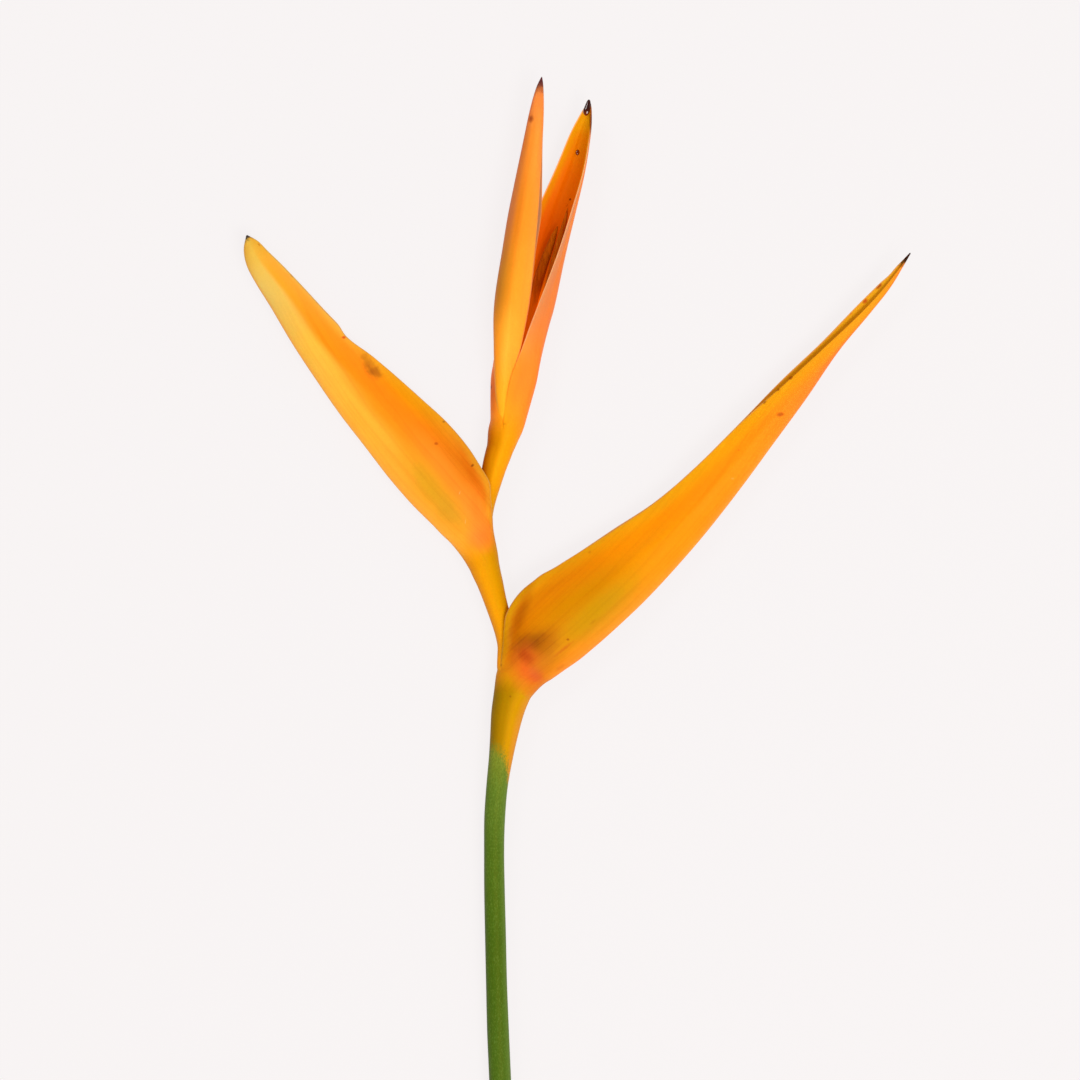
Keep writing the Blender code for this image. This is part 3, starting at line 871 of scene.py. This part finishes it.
def make_orange_group():
    """The yellow orange above the stem's green, which runs on into the bracts' bases. It is darker on the
    left as painted shade and lighter on the right as painted light.
    """
    inputs = [("Place", VECTOR), ("Sideways", NUMBER)]
    group, bench, given, out = new_group("stem orange", inputs, [("Colour", COLOUR)])
    # Painted shade on the left side and painted light on the right
    across = bench.fade(given["Sideways"], -1.15, 1.15)
    height = bench.part(given["Place"], "Y")
    low = stops((0, 150, 112, 0), (0.35, 182, 130, 0), (0.75, 218, 152, 0), (1, 236, 152, 40))
    middle = stops((0, 240, 150, 20), (0.3, 250, 162, 8), (0.65, 236, 158, 0), (1, 222, 150, 0))
    high = stops((0, 200, 105, 0), (0.3, 222, 135, 0), (0.65, 255, 165, 5), (1, 262, 165, 12))
    colour = bench.mix(bench.fade(height, -11.0, -2.5), bench.ramp(across, low), bench.ramp(across, middle))
    colour = bench.mix(bench.fade(height, 27.0, 42.0), colour, bench.ramp(across, high))
    bench.feed(out, {"Colour": colour})
    return group


PLACE_GROUP = make_place_group()
SPOT_GROUP = make_spot_group()
VEIN_GROUP = make_vein_group()
GRAIN_GROUP = make_grain_group()
ORANGE_GROUP = make_orange_group()


def new_skin(name, roughness, softness=0.12):
    """A material set for fresh plant tissue, its bench, its shader and the place on the flower."""
    made = bpy.data.materials.new(name)
    made.use_nodes = True
    bench = Bench(made.node_tree)
    shader = bench.feed(made.node_tree.nodes["Principled BSDF"], {
        "Roughness": roughness,
        "Subsurface Weight": softness,
        "Subsurface Radius": (1.0, 0.35, 0.12),
        "Subsurface Scale": 0.0012,
        "Specular IOR Level": 0.12,
        "Specular Tint": (1.0, 0.55, 0.12, 1.0),
    })
    at = bench.place("ShaderNodeTexCoord").outputs["Object"]
    return made, bench, shader, bench.use(PLACE_GROUP, object=at).outputs["Place"]


def add_marks(bench, colour, place, marks, shown, lines=None):
    """Lays soft patches and specks over a colour.

    A mark is its x, y, turn, length, width, softness, raggedness, colour and strength, and may end with how
    much the veins' lines break it up. shown is 1 where marks may show."""
    for x, y, angle, length, width, softness, raggedness, tint, strength, *lined in marks:
        spot = bench.use(
            SPOT_GROUP, place=place, centre=(x, y, 0), turn=angle, length=length, width=width,
            softness=softness, raggedness=raggedness, grain=1.2 / max(width, 0.3),
        )
        amount = bench.times(bench.times(spot.outputs["Mask"], strength), shown)
        if lined:
            amount = bench.times(amount, bench.fade(lines, 0.0, 1.0, 1.0 - lined[0], 1.0))
        colour = bench.mix(amount, colour, seen(*tint))
    return colour


def facing_up(bench):
    """1 where the flower's own surface looks up, as it lies."""
    normal = bench.place("ShaderNodeNewGeometry").outputs["Normal"]
    return bench.fade(bench.part(normal, "Z"), 0.0, 0.15)


def uneven(bench, colour, grain, darkest):
    """The colour with the grain's uneven tone."""
    tone = bench.fade(grain.outputs["Tone"], 0.3, 0.7, darkest, 1.0)
    grey = bench.place("ShaderNodeCombineColor", {0: tone, 1: tone, 2: tone})
    return bench.mix(1.0, colour, grey.outputs[0], "MULTIPLY")


def bract_skin(name, length, sections, inner, inner_edge, edge_line, line_from, dark_tip, marks, bands=(),
               glow_through=0.25, vein_depth=1.0, tip_line=None, tip_line_from=0.62, base_reach=11.0):
    """A bract's skin.

    sections are its colours from keel to margin at some shares of its length. Besides the bract's own colours
    they hold
    painted light and shade: a lighter keel, partly its own paler colour and partly painted light, and a
    darker margin side where the wall turns away, as painted shade. inner are the colours inside along it, and
    inner_edge the inside's colour near the margin. edge_line is the colour of the line on the margin, which
    fades in over line_from, and tip_line its colour on the near side from the share tip_line_from on.
    dark_tip is the tip's colour, and the distances from the end where it starts and is full. A band along the
    margin is the shares where it comes and goes, the distances where it is full and ends, its colour and its
    strength. glow_through is the strength of a painted glow on the inside faces, which stands in for the
    light that comes through the wall, and base_reach how far the stem's colour runs in."""
    made, bench, shader, place = new_skin(name, 0.44)
    travelled, edge = bench.value_of("along"), bench.value_of("edge")
    keel, inside, side = bench.value_of("keel"), bench.value_of("inside"), bench.value_of("side")
    outside = bench.minus(1.0, inside)
    across = bench.over(keel, bench.plus(bench.plus(keel, edge), 0.001))
    share = bench.over(travelled, length)
    grain = bench.use(GRAIN_GROUP, place=place, size=BRACT_GRAIN)
    veins = bench.use(VEIN_GROUP, across=keel, along=travelled, spacing=VEIN_SPACING, waver=VEIN_WAVER)

    # The wall's colours, outside and inside, with the painted light and shade that the sections hold
    wavy = bench.plus(share, bench.waver(bench.noise(place, 14.0), 0.06))
    last_place, colours = sections[0]
    colour = bench.ramp(across, stops(*colours))
    for next_place, colours in sections[1:]:
        reached = bench.fade(wavy, last_place, next_place)
        colour = bench.mix(reached, colour, bench.ramp(across, stops(*colours)))
        last_place = next_place
    inner_colour = bench.ramp(share, stops(*inner))
    inner_colour = bench.mix(bench.fade(edge, 2.2, 0.4, 0.0, 0.8), inner_colour, seen(*inner_edge))
    colour = bench.mix(inside, colour, inner_colour)

    # Bands along the margin, the stem's colour at the base, and the marks
    for start, end, low, high, inner_mm, outer_mm, tint, strength in bands:
        there = bench.times(bench.fade(share, start, end), bench.fade(share, low, high, 1.0, 0.0))
        band = bench.times(bench.times(bench.fade(edge, outer_mm, inner_mm), there), outside)
        colour = bench.mix(bench.times(band, strength), colour, seen(*tint))
    stem_orange = bench.use(ORANGE_GROUP, place=place, sideways=bench.value_of("sideways")).outputs["Colour"]
    base_share = bench.times(bench.fade(travelled, base_reach, 0.25 * base_reach), outside)
    colour = bench.mix(base_share, colour, stem_orange)
    colour = add_marks(bench, colour, place, marks, facing_up(bench), veins.outputs["Lines"])

    # The line on the margin
    line = bench.times(bench.fade(edge, *MARGIN_LINE), bench.fade(travelled, *line_from, 0.0, 0.75))
    on_tip = bench.fade(share, tip_line_from, tip_line_from + 0.08)
    on_tip = bench.times(on_tip, bench.fade(side, -0.1, 0.1))
    colour = bench.mix(line, colour, bench.mix(on_tip, seen(*edge_line), seen(*(tip_line or edge_line))))

    # Veins, streaks, grain and the dark tip
    shown_veins = bench.times(outside, bench.fade(share, 0.95, 0.65, 0.0, 0.10 * vein_depth))
    depth = bench.times(veins.outputs["Lines"], shown_veins)
    colour = bench.mix(depth, colour, VEIN_TINT, "MULTIPLY")
    colour = bench.mix(bench.times(veins.outputs["Streaks"], shown_veins), colour, STREAK_TINT, "MULTIPLY")
    colour = uneven(bench, colour, grain, 0.93)
    tip_tint, tip_starts, tip_full = dark_tip
    to_tip = bench.plus(bench.minus(length, travelled), bench.waver(bench.noise(place, 0.8, 3.0), 2.0))
    colour = bench.mix(bench.fade(to_tip, tip_starts, tip_full), colour, seen(*tip_tint))

    height = bench.plus(bench.times(depth, -6.0), bench.times(grain.outputs["Height"], 0.5))
    bench.feed(shader, {
        "Base Color": colour,
        # A painted glow on the inside faces, standing in for the light that comes through the wall
        "Emission Color": bench.mix(inside, BLACK, colour),
        "Emission Strength": glow_through,
        "Roughness": bench.fade(grain.outputs["Tone"], 0.3, 0.7, 0.38, 0.52),
        "Normal": bench.bump(0.35, 0.00006, height),
    })
    return made


def lowest_skin(length):
    sections = [
        # Near the base the margin side is darker, painted shade where the wall turns away under the groove
        (0.07, [(0, 285, 155, 45), (0.3, 238, 140, 20), (0.6, 222, 132, 3), (0.85, 208, 116, 0),
                (1, 225, 150, 10)]),
        (0.2, [(0, 285, 168, 55), (0.15, 245, 155, 32), (0.34, 212, 150, 2), (0.55, 218, 138, 0),
                (0.8, 234, 134, 0), (1, 232, 152, 8)]),
        (0.36, [(0, 285, 170, 45), (0.2, 262, 158, 20), (0.45, 250, 152, 6), (0.75, 262, 152, 0),
                (0.9, 255, 162, 5), (1, 240, 165, 15)]),
        (0.55, [(0, 285, 172, 48), (0.3, 285, 158, 28), (0.65, 285, 150, 15), (0.85, 258, 163, 12),
                (1, 242, 166, 20)]),
        (0.84, [(0, 285, 128, 62), (0.35, 275, 138, 50), (0.7, 258, 150, 42), (1, 245, 156, 38)]),
    ]
    marks = [
        # Painted shade in the groove beside the rolled rim
        (4.3, 7.6, 68, 11, 2.3, 0.95, 0.2, (182, 88, 0), 0.8),
        (21, 7, 40, 17, 4.2, 0.95, 0.6, (206, 148, 0), 0.55),
        (8.2, 1, 25, 9, 5.2, 0.95, 0.4, (166, 82, 6), 0.95, 0.2),
        (6.6, 1.7, 22, 5.6, 2.6, 0.9, 0.4, (150, 76, 8), 0.8, 0.3),
        (6.7, -4.8, -66, 8.6, 6.2, 0.95, 0.5, (240, 102, 34), 0.92),
        (6.2, -1.6, -45, 3.4, 2.2, 0.95, 0.5, (185, 66, 14), 0.85, 0.2),
        (8.3, -5.6, -60, 2.8, 2.2, 0.95, 0.6, (226, 90, 50), 0.65),
        (10.4, -3, 30, 6, 3.4, 0.95, 0.5, (204, 118, 20), 0.6),
        (14.7, 0.35, 38, 4.2, 0.6, 0.9, 0.5, (212, 98, 20), 0.6),
        (13.8, -4, 30, 2.4, 0.8, 0.9, 0.5, (215, 118, 25), 0.5),
        (15.6, 2.5, 0, 0.5, 0.4, 0.8, 0.3, (170, 78, 8), 0.85),
        (21.3, 6.5, 40, 1.4, 0.5, 0.9, 0.3, (190, 105, 10), 0.4),
        (87, 83.7, 45, 1.3, 0.7, 0.7, 0.3, (150, 60, 15), 0.9),
        (83.9, 80.2, 45, 1, 0.7, 0.8, 0.4, (175, 60, 15), 0.85),
        (80.6, 77.3, 45, 0.5, 0.3, 0.7, 0.3, (190, 85, 20), 0.7),
        (64.3, 54.1, 10, 1.35, 0.75, 0.8, 0.5, (200, 92, 20), 0.85),
        (66.8, 62.5, 45, 0.8, 0.5, 0.8, 0.3, (165, 70, 10), 0.85),
        (63.9, 59.8, 45, 0.6, 0.4, 0.8, 0.3, (150, 75, 5), 0.8),
        (60.8, 56.9, 45, 0.7, 0.4, 0.8, 0.3, (150, 80, 5), 0.8),
        (54.8, 45.9, 45, 0.35, 0.3, 0.8, 0.3, (215, 105, 20), 0.6),
        (53.4, 39.4, 0, 0.5, 0.3, 0.8, 0.3, (285, 185, 90), 0.5),
        (20.6, 22.5, 40, 0.6, 0.4, 0.8, 0.3, (200, 110, 10), 0.5),
        (0.15, -3.5, 60, 0.7, 0.45, 0.9, 0.3, (150, 90, 0), 0.7),
    ]
    bands = [
        (0.03, 0.07, 0.16, 0.26, 0.9, 2.2, (212, 146, 6), 0.8),
        (0.16, 0.22, 0.24, 0.36, 0.8, 2, (230, 154, 12), 0.7),
        (0.3, 0.42, 0.9, 1, 1.2, 3.8, (248, 168, 12), 0.6),
    ]
    return bract_skin(
        "lowest bract skin", length, sections,
        [(0, 215, 120, 0), (0.6, 205, 134, 5), (1, 212, 145, 15)], (214, 152, 22),
        (218, 150, 80), (12, 18), ((50, 26, 20), 4.6, 1.6), marks, bands,
        glow_through=0.4, tip_line=(140, 72, 8),
    )


def second_skin(length):
    sections = [
        # The pale band along the keel is partly the keel's own paler colour and partly painted light
        (0.08, [(0, 285, 188, 60), (0.4, 285, 172, 50), (0.75, 285, 145, 46), (1, 250, 146, 30)]),
        (0.26, [(0, 285, 184, 60), (0.3, 275, 176, 52), (0.45, 255, 160, 38), (0.62, 264, 150, 40),
                (0.82, 246, 132, 20), (1, 238, 150, 30)]),
        (0.46, [(0, 285, 190, 60), (0.34, 280, 186, 56), (0.52, 285, 152, 24), (0.72, 280, 142, 18),
                (0.9, 250, 156, 8), (1, 245, 165, 25)]),
        (0.68, [(0, 275, 182, 68), (0.2, 262, 198, 72), (0.44, 262, 194, 66), (0.6, 285, 154, 22),
                (0.8, 285, 156, 30), (1, 272, 182, 64)]),
        (0.86, [(0, 258, 172, 78), (0.18, 242, 198, 96), (0.5, 243, 197, 90), (0.66, 266, 172, 42),
                (0.88, 262, 170, 52), (1, 245, 180, 70)]),
        (1, [(0, 235, 170, 60), (0.5, 242, 190, 70), (1, 240, 175, 50)]),
    ]
    marks = [
        (-15.6, 36.6, -52, 17, 4.6, 0.95, 0.4, (226, 164, 28), 0.8),
        # Painted shade in the groove beside the rolled rim
        (-6.2, 40.2, -62, 12, 1.9, 0.95, 0.3, (228, 106, 5), 0.7),
        (-11.2, 31.4, -50, 8, 3.6, 0.95, 0.4, (228, 160, 38), 0.7),
        (-4.7, 25.6, -50, 5, 4, 0.95, 0.4, (275, 132, 50), 0.7),
        (-29.3, 64.3, -50, 3.4, 2.2, 0.95, 1, (178, 98, 22), 0.95, 0.15),
        (-30.9, 66.9, -55, 3, 1.5, 0.95, 1, (205, 122, 22), 0.8, 0.15),
        (-14.6, 47.4, 0, 0.65, 0.5, 0.8, 0.3, (195, 75, 15), 0.75),
        (-6.3, 42.4, 40, 0.6, 0.4, 0.8, 0.3, (130, 60, 10), 0.85),
        (-12.9, 52.5, 0, 0.5, 0.4, 0.8, 0.3, (150, 90, 30), 0.7),
        (-35.9, 71.9, 0, 0.7, 0.5, 0.8, 0.3, (225, 70, 30), 0.85),
        (-47.8, 86, -45, 0.8, 0.35, 0.8, 0.3, (195, 110, 30), 0.6),
        (-55.3, 93.1, -45, 0.6, 0.3, 0.8, 0.3, (185, 100, 30), 0.6),
        (-9.2, 36.1, 70, 0.6, 0.15, 0.8, 0.3, (285, 205, 130), 0.5),
        (-7.9, 29.5, 85, 0.8, 0.15, 0.8, 0.3, (285, 205, 130), 0.4),
    ]
    bands = [
        (0.06, 0.12, 0.2, 0.32, 1, 1.9, (240, 162, 35), 0.6),
        (0.3, 0.45, 0.6, 0.75, 0.8, 2.8, (250, 165, 15), 0.5),
    ]
    return bract_skin(
        "second bract skin", length, sections,
        [(0, 215, 110, 0), (1, 225, 140, 10)], (235, 165, 40),
        (228, 168, 85), (4, 9), ((62, 58, 56), 1.5, 0.5), marks, bands, tip_line=(215, 170, 90),
    )


def third_skin(length):
    sections = [
        (0.06, [(0, 285, 150, 40), (0.5, 285, 150, 42), (0.85, 285, 164, 25), (1, 285, 172, 20)]),
        (0.22, [(0, 285, 142, 58), (0.4, 285, 142, 46), (0.8, 282, 146, 45), (1, 275, 160, 42)]),
        (0.42, [(0, 285, 138, 75), (0.3, 268, 140, 62), (0.7, 258, 142, 64), (1, 250, 150, 78)]),
        (0.75, [(0, 285, 142, 75), (0.4, 270, 145, 60), (0.8, 250, 148, 75), (1, 245, 158, 95)]),
        (0.95, [(0, 265, 142, 60), (1, 245, 145, 70)]),
    ]
    marks = [
        (1.15, 51.9, 0, 0.6, 0.5, 0.9, 0.3, (215, 125, 10), 0.6),
        # Painted shade on the left of the base, where its wrap lies in shadow
        (-1.75, 59.6, 90, 9, 1.6, 0.95, 0.3, (234, 106, 0), 0.9),
        (-2.05, 60.5, 90, 0.6, 0.4, 0.9, 0.3, (150, 45, 0), 0.7),
        (16.15, 103.8, 60, 0.35, 0.28, 0.5, 0.3, (110, 25, 0), 0.9),
        (15.45, 102.4, 65, 0.5, 0.15, 0.7, 0.3, (150, 50, 0), 0.6),
        (20.95, 121.4, 88, 4.2, 0.6, 0.8, 0.4, (80, 26, 8), 0.95),
    ]
    return bract_skin(
        "third bract skin", length, sections,
        # Low in the channel the inside is brighter than its own colour, painted light against the shade that
        # lies there
        [(0, 285, 165, 0), (0.36, 285, 150, 0), (0.6, 212, 84, 0), (0.78, 214, 97, 0),
                (0.89, 210, 112, 0), (0.95, 210, 138, 3), (1, 212, 142, 10)],
        (215, 138, 5), (245, 175, 120), (20, 30), ((60, 28, 12), 2.6, 0.6), marks,
        glow_through=0.42, vein_depth=0.4, tip_line=(150, 52, 6), tip_line_from=0.86, base_reach=10,
    )


def top_skin(length):
    sections = [
        # The darker keel side on the left is partly the bract's brown-pink colour and partly painted shade,
        # and the pinkish margin side on the right is a painted sheen
        (0.08, [(0, 262, 165, 15), (0.4, 285, 182, 35), (1, 285, 180, 45)]),
        (0.26, [(0, 250, 150, 35), (0.25, 270, 165, 38), (0.55, 285, 188, 58), (1, 285, 178, 52)]),
        (0.42, [(0, 214, 126, 66), (0.2, 208, 126, 42), (0.4, 250, 150, 32), (0.62, 285, 174, 46),
                (1, 282, 176, 58)]),
        (0.62, [(0, 220, 128, 84), (0.22, 212, 122, 62), (0.42, 240, 134, 30), (0.65, 272, 160, 42),
                (1, 275, 162, 56)]),
        (0.82, [(0, 225, 122, 75), (0.25, 228, 128, 50), (0.5, 258, 148, 45), (0.75, 280, 162, 58),
                (1, 265, 145, 65)]),
        (0.95, [(0, 225, 118, 75), (0.4, 255, 145, 65), (1, 262, 140, 65)]),
    ]
    marks = [
        (7.15, 121.8, 80, 1.3, 0.9, 0.9, 0.5, (165, 70, 30), 0.9),
        (0.6, 84.6, 82, 16, 2.6, 0.95, 0.2, (198, 130, 28), 0.45),
    ]
    return bract_skin(
        "top bract skin", length, sections,
        [(0, 215, 110, 0), (0.55, 200, 130, 75), (1, 190, 125, 85)], (195, 135, 95),
        (240, 150, 80), (12, 20), ((95, 45, 50), 5, 1.2), marks, vein_depth=0.35, base_reach=2,
    )


def stem_skin():
    """Mottled green below and yellow orange above, with painted shade on the left and painted light on the
    right, and a pale cut face.
    """
    made, bench, shader, place = new_skin("stem skin", 0.48)
    side = bench.value_of("sideways")
    height = bench.part(place, "Y")
    mottle = bench.noise(bench.drawn_out(place, 0.55), 0.26, 3.0)

    run = bench.over(bench.plus(height, 160.0), 140.0)
    green = bench.ramp(run, stops(
        (0, 78, 108, 26), (0.44, 80, 110, 27), (0.64, 76, 106, 20), (0.8, 84, 114, 26), (0.9, 100, 128, 38),
        (1, 142, 150, 44),
    ))
    green = bench.mix(bench.fade(mottle, 0.35, 0.58, 0.34, 0.0), green, seen(52, 84, 8))
    green = bench.mix(bench.fade(mottle, 0.52, 0.72, 0.0, 0.22), green, seen(140, 168, 84))
    # Painted light on the right side of the green and painted shade on its left
    green = bench.mix(bench.fade(side, 0.35, 0.95, 0.0, 0.40), green, seen(122, 150, 64))
    green = bench.mix(bench.fade(side, -0.5, -1.0, 0.0, 0.25), green, seen(88, 106, 50))

    # The green ends in a mottled border that dips to the right
    to_right = bench.calc("MAXIMUM", side, 0.0)
    lean = bench.plus(bench.times(side, 1.6), bench.times(bench.calc("POWER", to_right, 2.0), 5.5))
    border = bench.plus(height, bench.plus(lean, bench.times(bench.noise(place, 2.2, 3.0), 3.0)))
    border = bench.plus(border, bench.waver(mottle, 8.0))
    orange = bench.use(ORANGE_GROUP, place=place, sideways=side).outputs["Colour"]
    colour = bench.mix(bench.fade(border, -24.0, -19.5), green, orange)
    marks = [
        (1.2, -9, 0, 0.4, 0.35, 0.6, 0.3, (140, 70, 10), 0.7),
        (2.4, -10.6, 0, 0.35, 0.3, 0.6, 0.3, (150, 75, 10), 0.6),
    ]
    colour = add_marks(bench, colour, place, marks, bench.fade(bench.part(place, "Z"), -0.5, 0.5))

    bundles = bench.fade(bench.noise(place, 0.55, 1.0), 0.50, 0.64)
    flesh = bench.mix(bundles, seen(190, 202, 134), seen(122, 144, 70))
    colour = bench.mix(bench.fade(height, *CUT_FACE), colour, flesh)
    grain = bench.use(GRAIN_GROUP, place=place, size=STEM_GRAIN)
    bench.feed(shader, {
        "Base Color": uneven(bench, colour, grain, 0.92),
        "Roughness": bench.fade(mottle, 0.3, 0.7, 0.42, 0.56),
        "Normal": bench.bump(0.3, 0.00005, mottle),
    })
    return made


def bud_skin(name, dark, light):
    """Streaked, with a painted glow low in the channel that stands in for light through the bract's wall."""
    made, bench, shader, place = new_skin(name, 0.5)
    streaks = bench.noise(bench.drawn_out(place, 0.12), 0.5, 3.0)
    bench.feed(shader, {
        "Base Color": bench.mix(bench.fade(streaks, 0.30, 0.75), seen(*dark), seen(*light)),
        "Emission Color": bench.mix(bench.fade(bench.part(place, "Y"), *WALL_LIT), BLACK, seen(150, 66, 0)),
        "Emission Strength": 1.0,
        "Normal": bench.bump(0.2, 0.00006, streaks),
    })
    return made


def sap_skin(name, ring, middle):
    """Glossy sap: dark at its rim, and clearer in the middle where the wall shows through."""
    made, bench, shader, place = new_skin(name, 0.12, 0.0)
    cloud = bench.noise(place, 0.7)
    colour = bench.mix(bench.fade(bench.value_of("rim"), 0.55, 0.95), seen(*middle), seen(*ring))
    colour = bench.mix(bench.fade(cloud, 0.4, 0.7, 0.0, 0.4), colour, seen(*ring))
    colour = bench.mix(bench.fade(bench.part(place, "Y"), *SAP_FOOT), colour, seen(128, 46, 8))
    bench.feed(shader, {
        "Base Color": colour,
        "Roughness": bench.fade(cloud, 0.3, 0.7, 0.08, 0.2),
        "Specular IOR Level": 0.5,
        "Specular Tint": (1.0, 1.0, 1.0, 1.0),
        "Coat Weight": 0.6,
        "Coat Roughness": 0.12,
    })
    return made


# Stage


def add_floor():
    """A plain pale floor that also glows a little, as a light table does, so shadows stay faint."""
    bpy.ops.mesh.primitive_plane_add(size=FLOOR_SIZE, location=(0, 0, FLOOR_HEIGHT))
    floor = bpy.context.object
    floor.name = "floor"
    paper = bpy.data.materials.new("pale paper")
    paper.use_nodes = True
    Bench(paper.node_tree).feed(paper.node_tree.nodes["Principled BSDF"], {
        "Base Color": PAPER,
        "Roughness": 0.9,
        "Specular IOR Level": 0.0,
        "Emission Color": PAPER_GLOW,
        "Emission Strength": 1.0,
    })
    floor.data.materials.append(paper)


def add_lamp(name, place, size, power):
    bpy.ops.object.light_add(type="AREA", location=place)
    lamp = bpy.context.object
    lamp.name = name
    lamp.data.shape = "DISK"
    lamp.data.size = size
    lamp.data.energy = power
    lamp.rotation_euler = (Vector(LAMPS_AIM) - Vector(place)).to_track_quat("-Z", "Y").to_euler()


def add_studio():
    """Soft light from all around and two lamps, before a plain backdrop."""
    world = bpy.data.worlds.new("studio")
    bpy.context.scene.world = world
    world.use_nodes = True
    bench = Bench(world.node_tree)
    lighting = bench.feed(world.node_tree.nodes["Background"], {"Color": SKY, "Strength": SKY_STRENGTH})
    backdrop = bench.place("ShaderNodeBackground", {"Color": BACKDROP})
    room = bench.place("ShaderNodeBackground", {"Strength": ROOM_STRENGTH})
    path = bench.place("ShaderNodeLightPath").outputs
    inputs = {0: path["Is Glossy Ray"], 1: lighting.outputs[0], 2: room.outputs[0]}
    lit = bench.place("ShaderNodeMixShader", inputs)
    inputs = {0: path["Is Camera Ray"], 1: lit.outputs[0], 2: backdrop.outputs[0]}
    chosen = bench.place("ShaderNodeMixShader", inputs)
    bench.feed(world.node_tree.nodes["World Output"], {"Surface": chosen.outputs[0]})
    add_lamp("key", *KEY_LAMP)
    add_lamp("fill", *FILL_LAMP)


def add_camera():
    centre = in_frame(VIEW_CENTRE)
    distance = VIEW_WIDTH * MM * LENS / SENSOR
    bpy.ops.object.camera_add(location=(centre.x, centre.y, AXIS_HEIGHT * MM + distance), rotation=(0, 0, 0))
    camera = bpy.context.object
    camera.data.lens = LENS
    camera.data.sensor_width = SENSOR
    bpy.context.scene.camera = camera


def dress(piece, skin):
    """Gives a fine piece its skin and attaches it to the root body."""
    piece.data.materials.clear()
    piece.data.materials.append(skin)
    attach(piece, "root")


def reach_of(piece):
    """The length of a bract, as its own measure along it says."""
    return max(value.value for value in piece.data.attributes["along"].data)


def main():
    clear_choice()
    stem = add_stem()
    dress(stem, stem_skin())
    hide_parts("stem")
    for name, rows, relief, trim, skin in (
        ("bract_lowest", LOWEST, lowest_relief, lowest_trim, lowest_skin),
        ("bract_second", SECOND, second_relief, second_trim, second_skin),
        ("bract_third", THIRD, third_relief, even_trim, third_skin),
        ("bract_top", TOP, top_relief, even_trim, top_skin),
    ):
        bract = lay_bract(name + "_fine", filled(rows), relief, trim)
        dress(bract, skin(reach_of(bract)))
        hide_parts(name)
    dress(add_sap_tip(), sap_skin("dark sap", (38, 12, 8), (62, 22, 12)))
    drop = add_sap_drop(bpy.data.objects["bract_third_fine"])
    dress(drop, sap_skin("clear sap", (92, 26, 0), (195, 84, 10)))
    for kind, rows, dark, light in (
        ("long", LONG_BUD, (185, 84, 0), (215, 108, 2)),
        ("short", SHORT_BUD, (190, 84, 0), (222, 112, 5)),
    ):
        name = "flower_bud_" + kind
        bud = add_bud(name + "_fine", rows)
        dress(bud, bud_skin(kind + " bud skin", dark, light))
        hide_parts(name)
    add_floor()
    add_studio()
    add_camera()
    bpy.context.scene.view_settings.view_transform = "Standard"


main()
